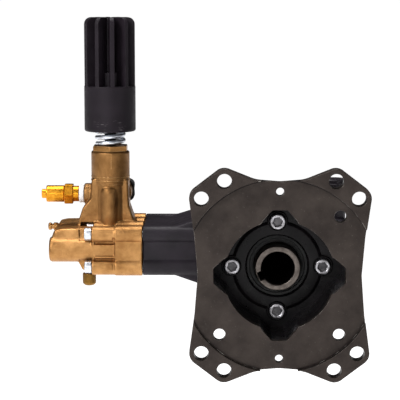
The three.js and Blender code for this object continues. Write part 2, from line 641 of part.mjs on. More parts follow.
function outletCap() {
  const lobes = [];
  for (let i = 0; i < 36; i += 1) {
    const angle = (i / 36) * 360;
    lobes.push(polar(11.9 + 0.7 * Math.cos(THREE.MathUtils.degToRad(6 * (angle - 30))), angle));
  }
  const body = plateXZ(lobes, OUTLET.face - 7, OUTLET.face + 5);
  const mouth = rod(ALONG_Y, OUTLET.boss + GAP, OUTLET.face - 8, OUTLET.face + GAP, undefined, 24);
  return part("outlet_cap", cut(body, mouth), BLACK_PLASTIC, [OUTLET.x, 0, OUTLET.z]);
}

function bottomStub() {
  const { radius, bottom } = STUB;
  const shape = turned(ALONG_Z, [
    [0, bottom], [3.4, bottom], [4.7, bottom + 0.8], [radius, bottom + 2], [radius, -10.6], [3.4, -10.6],
    [3.4, -1], [0, -1],
  ], undefined, 12);
  return part("bypass_plug", shape, BRASS, [STUB.x, STUB.y, 0]);
}

// ---------- unloader ----------

function unloaderNut() {
  const hex = prism(ALONG_Z, 6, NUT.across, BARREL.top + GAP, NUT.top, undefined, Math.PI / 3);
  const thread = rod(ALONG_Z, NUT.thread, NUT.threadFrom, BARREL.top + 1, undefined, 24);
  const bore = rod(ALONG_Z, STEM.radius + GAP, NUT.threadFrom - 1, NUT.top + 1, undefined, 16);
  return part("unloader_nut", cut(join(hex, thread), bore), BRASS, [COLUMN_X, PUMP_Y, 0]);
}

class Coil extends THREE.Curve {
  getPoint(t, target = new THREE.Vector3()) {
    const angle = t * SPRING.turns * 2 * Math.PI;
    const low = SPRING.from + SPRING.wire;
    const high = SPRING.to - SPRING.wire;
    return target.set(SPRING.mean * Math.cos(angle), SPRING.mean * Math.sin(angle), low + (high - low) * t);
  }
}

function unloaderSpring() {
  const wire = shapeOf(polygon(6, SPRING.wire * 2));
  const options = { extrudePath: new Coil(), steps: 70, bevelEnabled: false };
  const geometry = new THREE.ExtrudeGeometry(wire, options);
  return part("unloader_spring", solid(geometry), ZINC, [COLUMN_X, PUMP_Y, 0]);
}

function unloaderStem() {
  const shape = turned(ALONG_Z, [
    [0, 68], [STEM.headRadius, 68], [STEM.headRadius, NUT.threadFrom - 1], [STEM.radius, NUT.threadFrom - 1],
    [STEM.radius, STEM.top], [0, STEM.top],
  ], undefined, 16);
  return part("unloader_stem", shape, STEEL, [COLUMN_X, PUMP_Y, 0]);
}

function unloaderPiston() {
  const shape = turned(ALONG_Z, [
    [0, 34], [2.5, 34], [7.4, 39], [7.4, 44], [5, 45], [5, 55], [7.4, 56], [7.4, 62], [0, 62],
  ], undefined, 14);
  return part("unloader_piston", shape, STEEL, [COLUMN_X, PUMP_Y, 0]);
}

function springSeat() {
  const shape = ring(ALONG_Z, STEM.radius + GAP, 13.4, SPRING.to + GAP, KNOB.seat - GAP, undefined, 20);
  return part("spring_seat", shape, ZINC, [COLUMN_X, PUMP_Y, 0]);
}

function adjustingKnob() {
  const { bottom, shoulder, top, skirt, upper, chamber, seat, hub, tube, tubeFrom } = KNOB;
  const cup = turned(ALONG_Z, [
    [chamber, bottom], [skirt - 1.8, bottom], [skirt - 0.5, bottom + 0.7], [skirt, bottom + 2.2],
    [skirt, shoulder - 1], [upper, shoulder], [hub, shoulder], [hub, tubeFrom], [tube, tubeFrom],
    [tube, top - 2], [0, top - 2], [0, seat], [chamber, seat],
  ], undefined, 30);
  const fin = shapeOf([
    [4, shoulder - 1], [upper, shoulder - 1],
    ...arc(KNOB.edge, 0, 90, 4).map(([r, z]) => [upper - KNOB.edge + r, top - KNOB.edge + z]),
    [4, top],
  ]);
  let shape = cup;
  for (let i = 0; i < KNOB.ribs; i += 1) {
    const geometry = extruded(fin, KNOB.ribWidth);
    geometry.translate(0, 0, -KNOB.ribWidth / 2);
    geometry.rotateX(Math.PI / 2);
    geometry.rotateZ(THREE.MathUtils.degToRad(-90 + KNOB.firstRib + (i * 360) / KNOB.ribs));
    shape = shape.add(solid(geometry));
  }
  const stemHole = rod(ALONG_Z, STEM.radius + GAP, seat - 1, STEM.top + 10, undefined, 16);
  return part("adjusting_knob", cut(shape, stemHole), BLACK_PLASTIC, [COLUMN_X, PUMP_Y, 0]);
}

// ---------- assembly ----------

const pump = new THREE.Group();
pump.name = "pressure_washer_pump";
pump.add(engineFlange(), ...flangeScrews());
pump.add(crankcase(), rearCover(), ...rearCoverScrews(), fillerCap(), sightGlass(), drainPlug());
pump.add(part("shaft_seal", ring(ALONG_Y, SHAFT_R + GAP, SHAFT_SEAL.outer, SHAFT_SEAL.from, SHAFT_SEAL.to,
  undefined, 24), RUBBER));
pump.add(bearing("front_bearing", SHAFT_R, FRONT_BEARING.outer, FRONT_BEARING.from, FRONT_BEARING.to));
pump.add(bearing("rear_bearing", REAR_JOURNAL_R, REAR_BEARING.outer, REAR_BEARING.from, REAR_BEARING.to));
pump.add(crankDrive());
pump.add(manifold(), ...headBolts(), ...plungerSeals(), ...valves());
pump.add(reliefValve(), reliefWasher(), injectorBarb(), outletCap(), bottomStub());
pump.add(unloaderNut(), unloaderSpring(), unloaderStem(), unloaderPiston(), springSeat(), adjustingKnob());

export default pump;
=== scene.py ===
import json
import math

import bmesh
import bpy
from mathutils import Matrix, Vector, geometry


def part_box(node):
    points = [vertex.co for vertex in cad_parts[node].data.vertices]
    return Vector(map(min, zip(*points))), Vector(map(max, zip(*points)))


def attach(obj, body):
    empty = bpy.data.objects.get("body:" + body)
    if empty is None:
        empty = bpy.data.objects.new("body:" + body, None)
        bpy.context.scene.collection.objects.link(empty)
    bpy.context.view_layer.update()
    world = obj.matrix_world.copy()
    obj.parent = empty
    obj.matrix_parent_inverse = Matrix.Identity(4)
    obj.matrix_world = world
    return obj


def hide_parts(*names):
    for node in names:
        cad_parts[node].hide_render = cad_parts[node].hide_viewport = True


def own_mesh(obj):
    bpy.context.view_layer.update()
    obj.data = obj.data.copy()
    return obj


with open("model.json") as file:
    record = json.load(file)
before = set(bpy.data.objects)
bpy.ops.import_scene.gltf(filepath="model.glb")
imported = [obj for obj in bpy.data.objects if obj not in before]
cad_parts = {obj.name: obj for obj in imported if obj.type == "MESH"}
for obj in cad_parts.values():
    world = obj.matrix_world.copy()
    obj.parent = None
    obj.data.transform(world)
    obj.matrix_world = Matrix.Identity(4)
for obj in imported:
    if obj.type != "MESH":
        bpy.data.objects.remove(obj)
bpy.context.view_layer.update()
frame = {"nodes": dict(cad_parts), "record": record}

MM = 0.001
TAU = 2 * math.pi


# ---------- places read from the frame, in millimetres ----------

def box_mm(node):
    low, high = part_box(node)
    return low / MM, high / MM


def centre_mm(node):
    low, high = box_mm(node)
    return (low + high) / 2


KNOB_LOW, KNOB_HIGH = box_mm("adjusting_knob")
COLUMN = centre_mm("adjusting_knob")
FLANGE_BACK = box_mm("engine_flange")[1].y
CASE_LOW, CASE_HIGH = box_mm("crankcase")
HEAD_LOW, HEAD_HIGH = box_mm("manifold")
SHAFT_LOW, SHAFT_HIGH = box_mm("crankshaft")
PUMP_Y = COLUMN.y
PITCH = centre_mm("plunger_2").y - centre_mm("plunger_1").y
PLUNGER_Z = centre_mm("plunger_2").z

# driving sizes of the engine interface, as the CAD model has them
BOLT_CIRCLE_R = 82.55
BOLT_HOLE_R = 5.5
BOLT_ANGLES = (45, 60, 120, 135, 225, 240, 300, 315)
EAR_R = 9.1
PILOT_R = 73.03
PILOT_DEPTH = 4.0
PLATE_BACK = 10.0
WAIST = (61.2, 70.6)
INNER_HOLE = {"offset": 44.8, "radius": 4.5}
SMALL_HOLE = {"offset": 63.3, "radius": 3.0}
HUB = {"ring": 41.4, "lobe": 49.4, "tip": 5.7, "wall": 3.6, "floor": 47.0, "bore": 24.0, "screws": 35.0}

# crankshaft
SHAFT_R = 17.5
SHAFT_BORE_R = 12.7
SHAFT_BORE_END = 99.0
KEY = {"width": 6.35, "reach": 15.7, "angle": 205.0}
JOURNAL_R = 18.5
ECCENTRICITY = 3.5

# unloader
KNOB = {
    "chamber": 14.2, "upper": 20.2, "hub": 10.5, "edge": 5.5,
    "ribs": 10, "rib_half": 1.7, "first_rib": -80.0,
}
STEM_HOLE_R = 5.3
SPRING = {"wire": 1.72, "turns": 5.5, "start": 200.0}
NUT_ACROSS = 26.6

# manifold and crankcase; the manifold's two halves meet at STEP
HEAD_BOLTS = [box_mm(f"head_bolt_{i + 1}") for i in range(8)]
BOLT_PLACES = [((low.y + high.y) / 2, (low.z + high.z) / 2) for low, high in HEAD_BOLTS]
HEAD_FACE = HEAD_BOLTS[0][0].x + 5.9
JOINT = HEAD_HIGH.x
STEP = -126.5
HEAD_HALF = {"y": (60, 131), "z": (-7.6, 25.4)}
CASE_HALF = {"y": (58, 132), "z": (-9.2, 26.6)}
PLUNGERS = [centre_mm(f"plunger_{i + 1}").y for i in range(3)]
INLET = {"y": 70.0, "z": 8.7, "boss": 10.0, "bore": 6.8}
RIB = {"x": -132.0, "y": 86.0, "radius": 7.8, "top": 57.5}
OUTLET = {"x": -125.0, "z": 50.0, "radius": 10.0, "back": 118.0}
RELIEF = {"z": 49.5, "radius": 8.5}
CASE_R = 42.0


# ---------- outlines ----------

def polar(radius, degrees):
    angle = math.radians(degrees)
    return radius * math.cos(angle), radius * math.sin(angle)


def arc(radius, start, end, steps, centre=(0.0, 0.0)):
    points = [polar(radius, start + (end - start) * i / steps) for i in range(steps + 1)]
    return [(centre[0] + a, centre[1] + b) for a, b in points]


def circle(radius, centre=(0.0, 0.0), count=48):
    return arc(radius, 0, 360 - 360 / count, count - 1, centre)


def hexagon(across, turn=0.0):
    return [polar(across / math.sqrt(3), turn + 60 * i) for i in range(6)]


def soften(points, radius, steps=4, closed=True):
    """Rounds every corner of a polyline that turns by more than a few degrees."""
    count = len(points)
    result = []
    for i, point in enumerate(points):
        if not closed and i in (0, count - 1):
            result.append(point)
            continue
        here = Vector(point)
        before = Vector(points[i - 1]) - here
        after = Vector(points[(i + 1) % count]) - here
        turn = math.pi - before.angle(after, math.pi)
        if turn < math.radians(8):
            result.append(point)
            continue
        reach = min(radius * math.tan(turn / 2), before.length * 0.49, after.length * 0.49)
        start = here + before.normalized() * reach
        end = here + after.normalized() * reach
        for k in range(steps + 1):
            t = k / steps
            bent = start * (1 - t) ** 2 + here * 2 * t * (1 - t) + end * t ** 2
            result.append((bent.x, bent.y))
    return result


def signed_area(points):
    return sum(a[0] * b[1] - b[0] * a[1] for a, b in zip(points, points[1:] + points[:1])) / 2


def inset(points, distance):
    """Moves a closed outline towards its inside, keeping its point count."""
    if abs(distance) < 1e-9:
        return list(points)
    sign = 1 if signed_area(points) > 0 else -1
    moved = []
    count = len(points)
    for i in range(count):
        here = Vector(points[i])
        into = (here - Vector(points[i - 1])).normalized()
        out = (Vector(points[(i + 1) % count]) - here).normalized()
        n1 = Vector((-into.y, into.x)) * sign
        n2 = Vector((-out.y, out.x)) * sign
        shift = (n1 + n2) / max(0.35, 1 + n1.dot(n2))
        moved.append(tuple(here + shift * distance))
    return moved


AXES = {
    "X": lambda a, b, h: Vector((h, a, b)),
    "Y": lambda a, b, h: Vector((a, h, b)),
    "Z": lambda a, b, h: Vector((a, b, h)),
}


def lathe_rings(axis, profile, centre, count):
    """A ring of points for each (radius, height), or one point where it meets the axis."""
    rings = []
    for radius, height in profile:
        ring = [polar(radius, 360 * i / count) for i in range(count)] if radius > 1e-6 else [(0, 0)]
        rings.append([AXES[axis](a, b, height) + Vector(centre) for a, b in ring])
    return rings


# ---------- pieces ----------

def placed(name, data):
    """A new object, linked into the scene."""
    obj = bpy.data.objects.new(name, data)
    bpy.context.scene.collection.objects.link(obj)
    return obj


class Piece:
    """Closed islands, built in millimetres, that become one object of the scene."""

    def __init__(self, name, body, slot, replaced, material):
        self.name = name
        self.body = body
        self.slot = slot
        self.replaced = replaced
        self.material = material
        self.mesh = bmesh.new()

    def loft(self, rings, place=None, ends=True):
        """Joins rings of points with quads, and closes both ends."""
        made = []
        for ring in rings:
            points = [Vector(p) if place is None else place @ Vector(p) for p in ring]
            made.append([self.mesh.verts.new(p) for p in points])
        for low, high in zip(made, made[1:]):
            count = max(len(low), len(high))
            for i in range(count):
                j = (i + 1) % count
                corners = [low[i % len(low)], low[j % len(low)], high[j % len(high)], high[i % len(high)]]
                unique = list(dict.fromkeys(corners))
                if len(unique) > 2:
                    self.mesh.faces.new(unique)
        if ends:
            for ring in (made[0], made[-1]):
                if len(ring) > 2:
                    self.mesh.faces.new(ring)
        return made

    def turned(self, axis, profile, centre=(0, 0, 0), count=64):
        """A lathe form: profile is (radius, height) from one end to the other."""
        self.loft(lathe_rings(axis, profile, centre, count))

    def ring(self, axis, profile, centre=(0, 0, 0), count=64):
        """A lathe form whose profile closes on itself, such as a tube."""
        made = self.loft(lathe_rings(axis, profile + profile[:1], centre, count), ends=False)
        for first, last in zip(made[0], made[-1]):
            self.mesh.verts.ensure_lookup_table()
            bmesh.ops.pointmerge(self.mesh, verts=[first, last], merge_co=first.co.copy())

    def plate(self, axis, outline, levels, holes=(), place=None, centre=(0, 0, 0)):
        """An outline with holes, pushed through levels of (height, inset): an inset shrinks the solid."""
        loops = [list(outline)] + [list(h) for h in holes]
        caps = []
        for index, loop in enumerate(loops):
            rings = []
            for height, step in levels:
                moved = inset(loop, step if index == 0 else -step)
                ring = [AXES[axis](a, b, height) + Vector(centre) for a, b in moved]
                rings.append(ring)
            caps.append(self.loft(rings, place, ends=False))
        for end in (0, -1):
            verts = [loop[end] for loop in caps]
            flat = [inset(loop, levels[end][1] * (1 if i == 0 else -1)) for i, loop in enumerate(loops)]
            lines = [[Vector((a, b, 0)) for a, b in loop] for loop in flat]
            every = [v for loop in verts for v in loop]
            for triangle in geometry.tessellate_polygon(lines):
                corners = [every[i] for i in triangle]
                if len(set(corners)) == 3 and self.mesh.faces.get(corners) is None:
                    self.mesh.faces.new(corners)

    def sweep(self, path, radius, count=16):
        """A round wire along a list of points."""
        rings = []
        for i, point in enumerate(path):
            ahead = path[min(i + 1, len(path) - 1)] - path[max(i - 1, 0)]
            side = ahead.cross(Vector((0, 0, 1))).normalized()
            up = side.cross(ahead).normalized()
            rings.append([point + (side * a + up * b) * radius for a, b in circle(1, count=count)])
        self.loft(rings)

    def done(self, sharp=38):
        bmesh.ops.dissolve_degenerate(self.mesh, dist=1e-4, edges=self.mesh.edges)
        bmesh.ops.recalc_face_normals(self.mesh, faces=self.mesh.faces)
        bmesh.ops.scale(self.mesh, vec=(MM, MM, MM), verts=self.mesh.verts)
        data = bpy.data.meshes.new(self.name)
        self.mesh.to_mesh(data)
        self.mesh.free()
        for polygon in data.polygons:
            polygon.use_smooth = True
        data.set_sharp_from_angle(angle=math.radians(sharp))
        data.materials.append(self.material)
        obj = placed(self.name, data)
        even = obj.modifiers.new("even_normals", "WEIGHTED_NORMAL")
        even.keep_sharp = True
        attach(obj, self.body)
        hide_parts(*self.replaced)
        return obj


def bevelled(low, high, edge, steps=3, both=True):
    """Levels of a plate from low to high, with a rounded edge at the low end or at both."""
    first = [(low + edge * (1 - math.cos(t)), edge * (1 - math.sin(t)))
             for t in (math.pi / 2 * i / steps for i in range(steps + 1))]
    last = [(high - (h - low), step) for h, step in reversed(first)]
    return first + last if both else first + [(high, 0.0)]


def hexed(piece, axis, across, low, high, edge, centre):
    """A hexagon with its corners turned off, as on a nut."""
    outline = soften(hexagon(across), 0.5, 2)
    levels = [(low, edge), (low + edge * 0.6, 0.0), (high - edge * 0.6, 0.0), (high, edge)]
    piece.plate(axis, outline, levels, centre=centre)


# ---------- materials ----------

class Surface:
    """A Principled material with procedural colour, roughness and bump in object space."""

    def __init__(self, name, colour, roughness, metallic, gloss=0.5):
        self.material = bpy.data.materials.new(name)
        self.material.use_nodes = True
        self.tree = self.material.node_tree
        self.shader = self.tree.nodes["Principled BSDF"]
        self.shader.inputs["Base Color"].default_value = (*colour, 1)
        self.shader.inputs["Roughness"].default_value = roughness
        self.shader.inputs["Metallic"].default_value = metallic
        self.shader.inputs["Specular IOR Level"].default_value = gloss
        self.coordinates = self.tree.nodes.new("ShaderNodeTexCoord").outputs["Object"]
        self.normal = None

    def node(self, kind, **settings):
        made = self.tree.nodes.new(kind)
        for key, value in settings.items():
            setattr(made, key, value)
        return made

    def link(self, source, target):
        self.tree.links.new(source, target)

    def noise(self, size_mm, detail=4.0, rough=0.55, stretch=(1, 1, 1)):
        mapping = self.node("ShaderNodeMapping")
        mapping.inputs["Scale"].default_value = stretch
        self.link(self.coordinates, mapping.inputs["Vector"])
        texture = self.node("ShaderNodeTexNoise")
        texture.inputs["Scale"].default_value = 1 / (size_mm * MM)
        texture.inputs["Detail"].default_value = detail
        texture.inputs["Roughness"].default_value = rough
        self.link(mapping.outputs["Vector"], texture.inputs["Vector"])
        return texture.outputs["Fac"]

    def spread(self, value, low, high, to_low=0.0, to_high=1.0):
        ranged = self.node("ShaderNodeMapRange")
        for key, number in (("From Min", low), ("From Max", high), ("To Min", to_low), ("To Max", to_high)):
            ranged.inputs[key].default_value = number
        self.link(value, ranged.inputs["Value"])
        return ranged.outputs["Result"]

    def math(self, operation, a, b=0.0):
        made = self.node("ShaderNodeMath", operation=operation)
        for socket, value in zip(made.inputs, (a, b)):
            if isinstance(value, (int, float)):
                socket.default_value = value
            else:
                self.link(value, socket)
        return made.outputs["Value"]

    def times(self, a, b):
        return self.math("MULTIPLY", a, b)

    def mix(self, factor, a, b):
        made = self.node("ShaderNodeMix", data_type="RGBA")
        self.link(factor, made.inputs["Factor"])
        for socket, value in ((made.inputs[6], a), (made.inputs[7], b)):
            if isinstance(value, tuple):
                socket.default_value = (*value, 1)
            else:
                self.link(value, socket)
        return made.outputs[2]

    def colour(self, factor, a, b):
        self.link(self.mix(factor, a, b), self.shader.inputs["Base Color"])

    def roughness(self, size_mm, detail, low, high, rough=0.55):
        """Roughness that wanders between low and high."""
        wander = self.spread(self.noise(size_mm, detail, rough), 0.3, 0.7, low, high)
        self.link(wander, self.shader.inputs["Roughness"])

    def bump(self, height, depth_mm, strength=1.0):
        made = self.node("ShaderNodeBump")
        made.inputs["Strength"].default_value = strength
        made.inputs["Distance"].default_value = depth_mm * MM
        self.link(height, made.inputs["Height"])
        if self.normal is not None:
            self.link(self.normal, made.inputs["Normal"])
        self.normal = made.outputs["Normal"]
        self.link(self.normal, self.shader.inputs["Normal"])

    def axis(self, name):
        made = self.node("ShaderNodeSeparateXYZ")
        self.link(self.coordinates, made.inputs["Vector"])
        return made.outputs[name]

    def pilot_shadow(self):
        """Painted shadow along the pilot edge, strongest at the upper left."""
        x = self.axis("X")
        z = self.axis("Z")
        reach = self.math("SQRT", self.math("ADD", self.times(x, x), self.times(z, z)))
        off_edge = self.math("ABSOLUTE", self.math("SUBTRACT", reach, (PILOT_R - 0.5) * MM))
        line = self.spread(off_edge, 0.9 * MM, 0.3 * MM)
        upper_left = self.spread(self.math("SUBTRACT", z, x), 0.0, 60 * MM)
        return self.times(line, self.math("ADD", self.times(upper_left, 0.6), 0.3))

    def edges(self, radius_mm):
        """1 on edges and 0 on flat stretches."""
        rounded = self.node("ShaderNodeBevel", samples=6)
        rounded.inputs["Radius"].default_value = radius_mm * MM
        plain = self.node("ShaderNodeNewGeometry")
        dot = self.node("ShaderNodeVectorMath", operation="DOT_PRODUCT")
        self.link(rounded.outputs["Normal"], dot.inputs[0])
        self.link(plain.outputs["Normal"], dot.inputs[1])
        return self.spread(dot.outputs["Value"], 0.995, 0.9)

    def wear(self, radius_mm, patch_mm, low, high, strength):
        """Edges that are worn bright in patches."""
        patches = self.spread(self.noise(patch_mm, 3), low, high)
        return self.times(self.times(self.edges(radius_mm), patches), strength)


def flange_metal():
    surface = Surface("flange_metal", (0.075, 0.066, 0.058), 0.42, 0.6, 0.3)
    cloud = surface.spread(surface.noise(22, 6, 0.65), 0.35, 0.68)
    tint = surface.mix(cloud, (0.023, 0.0172, 0.015), (0.046, 0.036, 0.031))
    speck = surface.spread(surface.noise(1.6, 3, 0.6), 0.66, 0.74)
    tint = surface.mix(surface.times(speck, 0.25), tint, (0.2, 0.18, 0.16))
    # painted shadow: the flange is darkened just inside the pilot edge, most at the upper left
    tint = surface.mix(surface.pilot_shadow(), tint, (0.006, 0.004, 0.004))
    surface.colour(surface.wear(0.5, 5, 0.5, 0.62, 0.75), tint, (0.5, 0.47, 0.43))
    surface.roughness(9, 5, 0.34, 0.56, 0.6)
    surface.bump(surface.noise(0.7, 3, 0.6), 0.02, 0.5)
    surface.bump(surface.noise(9, 3, 0.5), 0.08, 0.4)
    return surface.material


def hub_black():
    surface = Surface("hub_black", (0.006, 0.005, 0.006), 0.3, 0.0, 0.16)
    cloud = surface.spread(surface.noise(14, 4), 0.4, 0.65)
    surface.colour(cloud, (0.003, 0.0025, 0.003), (0.008, 0.0065, 0.0075))
    surface.roughness(6, 4, 0.22, 0.42)
    surface.bump(surface.noise(1.2, 3), 0.04, 0.5)
    return surface.material


def case_black():
    surface = Surface("case_black", (0.022, 0.018, 0.023), 0.48, 0.0, 0.2)
    cloud = surface.spread(surface.noise(18, 5), 0.35, 0.68)
    tint = surface.mix(cloud, (0.009, 0.0068, 0.0098), (0.018, 0.0138, 0.019))
    surface.colour(surface.wear(0.4, 4, 0.5, 0.65, 0.35), tint, (0.12, 0.11, 0.12))
    surface.roughness(7, 4, 0.4, 0.58)
    surface.bump(surface.noise(0.8, 3, 0.6), 0.05, 0.6)
    return surface.material


def brass_cast(name, light, dark, roughness, grain, painted_shading=0.0):
    surface = Surface(name, light, roughness, 0.92)
    tint = surface.mix(surface.spread(surface.noise(13, 6, 0.65), 0.36, 0.66), dark, light)
    stain = surface.spread(surface.noise(2.6, 4, 0.7), 0.58, 0.72)
    tint = surface.mix(surface.times(stain, 0.3), tint, tuple(c * 0.55 for c in dark))
    # painted shade: the brass grows darker from 24 mm to 46 mm in height, in place of the dark reflection on
    # the column and rib
    if painted_shading:
        painted_shading_ramp = surface.spread(surface.axis("Z"), 24 * MM, 46 * MM)
        tint = surface.mix(surface.times(painted_shading_ramp, painted_shading), tint, tuple(c * 0.4 for c in dark))
    surface.colour(surface.wear(0.45, 6, 0.35, 0.6, 0.6), tint, (0.86, 0.6, 0.3))
    surface.roughness(4, 5, roughness - 0.08, roughness + 0.12, 0.6)
    surface.bump(surface.noise(1.3, 4, 0.7), grain, 0.8)
    surface.bump(surface.noise(5, 3, 0.5), grain * 3, 0.5)
    return surface.material


def plain_metal(name, low, high, roughness, grain=0.01):
    surface = Surface(name, high, roughness, 1.0)
    surface.colour(surface.spread(surface.noise(5, 4), 0.35, 0.65), low, high)
    surface.roughness(2, 4, roughness - 0.07, roughness + 0.1)
    if grain:
        surface.bump(surface.noise(0.8, 3), grain, 0.5)
    return surface.material


def knob_plastic():
    surface = Surface("knob_plastic", (0.02, 0.017, 0.021), 0.55, 0.0, 0.14)
    cloud = surface.spread(surface.noise(20, 4), 0.35, 0.68)
    tint = surface.mix(cloud, (0.0085, 0.006, 0.0086), (0.0145, 0.0105, 0.0148))
    scrape = surface.noise(1.3, 4, 0.6, (0.25, 0.25, 2.5))
    height = surface.spread(surface.axis("Z"), (KNOB_LOW.z + 14) * MM, (KNOB_LOW.z + 5) * MM)
    scuff = surface.times(surface.spread(scrape, 0.6, 0.66), height)
    scuff = surface.times(scuff, surface.spread(surface.noise(11, 2), 0.5, 0.6))
    tint = surface.mix(surface.times(scuff, 0.5), tint, (0.3, 0.28, 0.29))
    surface.colour(surface.wear(0.4, 5, 0.45, 0.65, 0.3), tint, (0.11, 0.1, 0.11))
    surface.roughness(5, 4, 0.42, 0.6)
    surface.bump(surface.noise(0.45, 3, 0.6), 0.03, 0.6)
    return surface.material


def rubber():
    surface = Surface("rubber", (0.012, 0.012, 0.012), 0.7, 0.0)
    cloud = surface.spread(surface.noise(4, 4), 0.4, 0.65)
    surface.colour(cloud, (0.009, 0.009, 0.009), (0.02, 0.02, 0.02))
    surface.bump(surface.noise(0.5, 3), 0.03, 0.5)
    return surface.material


def pale(name, low, high, roughness, gloss=0.5):
    surface = Surface(name, high, roughness, 0.0, gloss)
    surface.colour(surface.spread(surface.noise(6, 4), 0.35, 0.65), low, high)
    surface.bump(surface.noise(0.6, 3), 0.02, 0.5)
    return surface.material


def sight_clear():
    surface = Surface("sight_clear", (0.8, 0.7, 0.45), 0.08, 0.0)
    surface.shader.inputs["Transmission Weight"].default_value = 0.7
    cloud = surface.spread(surface.noise(8, 3), 0.4, 0.6)
    surface.colour(cloud, (0.75, 0.62, 0.36), (0.88, 0.8, 0.58))
    surface.bump(surface.noise(3, 2), 0.02, 0.3)
    return surface.material


FLANGE_METAL = flange_metal()
HUB_BLACK = hub_black()
# painted shade: near-black colour for the inside of the shaft bore
UNLIT = pale("unlit", (0.0006, 0.0005, 0.0005), (0.0012, 0.001, 0.001), 0.95, 0.02)
CASE_BLACK = case_black()
# BRASS carries the painted shade on the column through its last argument
BRASS = brass_cast("brass_cast", (0.5, 0.262, 0.095), (0.29, 0.138, 0.043), 0.42, 0.2, 0.45)
BRASS_DARK = brass_cast("brass_dark", (0.28, 0.145, 0.03), (0.16, 0.08, 0.016), 0.42, 0.03)
BRASS_TURNED = brass_cast("brass_turned", (0.42, 0.215, 0.073), (0.27, 0.13, 0.04), 0.34, 0.02)
ZINC = plain_metal("zinc", (0.5, 0.52, 0.56), (0.74, 0.77, 0.83), 0.34, 0.004)
ZINC_DULL = plain_metal("zinc_dull", (0.3, 0.29, 0.3), (0.52, 0.51, 0.54), 0.36, 0.006)
# painted shadow colour for the bottoms of the screw sockets
SOCKET_SHADOW_GREY = plain_metal("socket_shadow_grey", (0.07, 0.068, 0.072), (0.14, 0.135, 0.14), 0.45)
STEEL = plain_metal("steel", (0.085, 0.072, 0.064), (0.16, 0.138, 0.124), 0.36, 0.012)
STEM_BLACK = plain_metal("stem_black", (0.02, 0.02, 0.022), (0.045, 0.045, 0.05), 0.4)
KNOB_PLASTIC = knob_plastic()
GOLD = plain_metal("gold", (0.5, 0.2, 0.012), (0.66, 0.29, 0.025), 0.34, 0.0)
WHITE = pale("white_plastic", (0.72, 0.7, 0.7), (0.85, 0.84, 0.84), 0.45)
CERAMIC = pale("ceramic", (0.8, 0.78, 0.72), (0.9, 0.88, 0.83), 0.15)
RUBBER = rubber()
ROD_ALLOY = plain_metal("rod_alloy", (0.45, 0.45, 0.46), (0.6, 0.6, 0.62), 0.42, 0.03)
SIGHT_CLEAR = sight_clear()


# ---------- engine flange ----------

def plate_outline():
    """The four-ear outline: round ears on the bolt circle and a waist on each axis."""
    ears = []
    for angle, start, end in ((45, -12, 52), (60, 56, 112)):
        ears += arc(EAR_R, start, end, 10, polar(BOLT_CIRCLE_R, angle))
    quadrant = [(WAIST[0], 0.0), (WAIST[0] + 2.4, 30.0)] + ears + [(18.0, WAIST[1] + 1.4), (0.0, WAIST[1])]
    points = []
    for index, (sx, sz) in enumerate(((1, 1), (-1, 1), (-1, -1), (1, -1))):
        run = quadrant[::-1] if index % 2 else quadrant
        points += [(x * sx, z * sz) for x, z in run[:-1]]
    return soften(points, 26, 8)


def lobed_outline(grow):
    """A ring with four flat-tipped lobes on the axes, grown outwards by a wall."""
    points = []
    tip = HUB["tip"] + grow * 0.4
    for quarter in range(4):
        turn = quarter * 90
        for side in (-1, 1):
            flank = [(HUB["lobe"] + grow, side * tip), (HUB["ring"] + 0.2 + grow, side * (tip + 6.9))]
            for along, across in flank[::side]:
                angle = math.degrees(math.atan2(across, along))
                points.append(polar(math.hypot(along, across), turn + angle))
        points += arc(HUB["ring"] + grow, turn + 20, turn + 70, 18)
    return soften(points, 2.5, 5)


def ear_pad(quarter):
    """The raised part of two ears: the outline outside the pilot circle, in one corner of the plate."""
    outline = densified(plate_outline(), 0.8)
    corner = [p for p in outline if math.hypot(*p) > PILOT_R and quarter_of(p) == quarter]
    corner.sort(key=lambda p: math.atan2(p[1], p[0]))
    angles = [math.degrees(math.atan2(p[1], p[0])) for p in (corner[0], corner[-1])]
    return corner + arc(PILOT_R, angles[1], angles[0], 16)


def densified(points, step):
    """The same outline with points at most a step apart."""
    result = []
    for here, ahead in zip(points, points[1:] + points[:1]):
        count = max(1, math.ceil(math.dist(here, ahead) / step))
        result += [tuple(Vector(here).lerp(Vector(ahead), i / count)) for i in range(count)]
    return result


def quarter_of(point):
    return int(math.degrees(math.atan2(point[1], point[0])) % 360 // 90)


def engine_flange():
    piece = Piece("flange_body", "housing", "flange_metal", ["engine_flange"], FLANGE_METAL)
    bolts = [polar(BOLT_CIRCLE_R, a) for a in BOLT_ANGLES]
    bolt_holes = [circle(BOLT_HOLE_R, c, 40) for c in bolts]
    away = INNER_HOLE["offset"]
    inner = [
        circle(INNER_HOLE["radius"], (away * sx, away * sz), 32)
        for sx, sz in ((1, 1), (1, -1), (-1, -1))
    ]
    small = [circle(SMALL_HOLE["radius"], (0, SMALL_HOLE["offset"] * s), 28) for s in (-1, 1)]
    web = [(PILOT_DEPTH, 0.35), (PILOT_DEPTH + 0.12, 0.12), (PILOT_DEPTH + 0.4, 0.0), (PLATE_BACK - 0.4, 0.0),
           (PLATE_BACK, 0.4)]
    piece.plate("Y", plate_outline(), web, [lobed_outline(0)] + bolt_holes + inner + small)
    pad = bevelled(0.0, PILOT_DEPTH + 0.4, 0.5, both=False)
    for quarter in range(4):
        holes = [h for h, c in zip(bolt_holes, bolts) if quarter_of(c) == quarter]
        piece.plate("Y", ear_pad(quarter), pad, holes)
    piece.done()


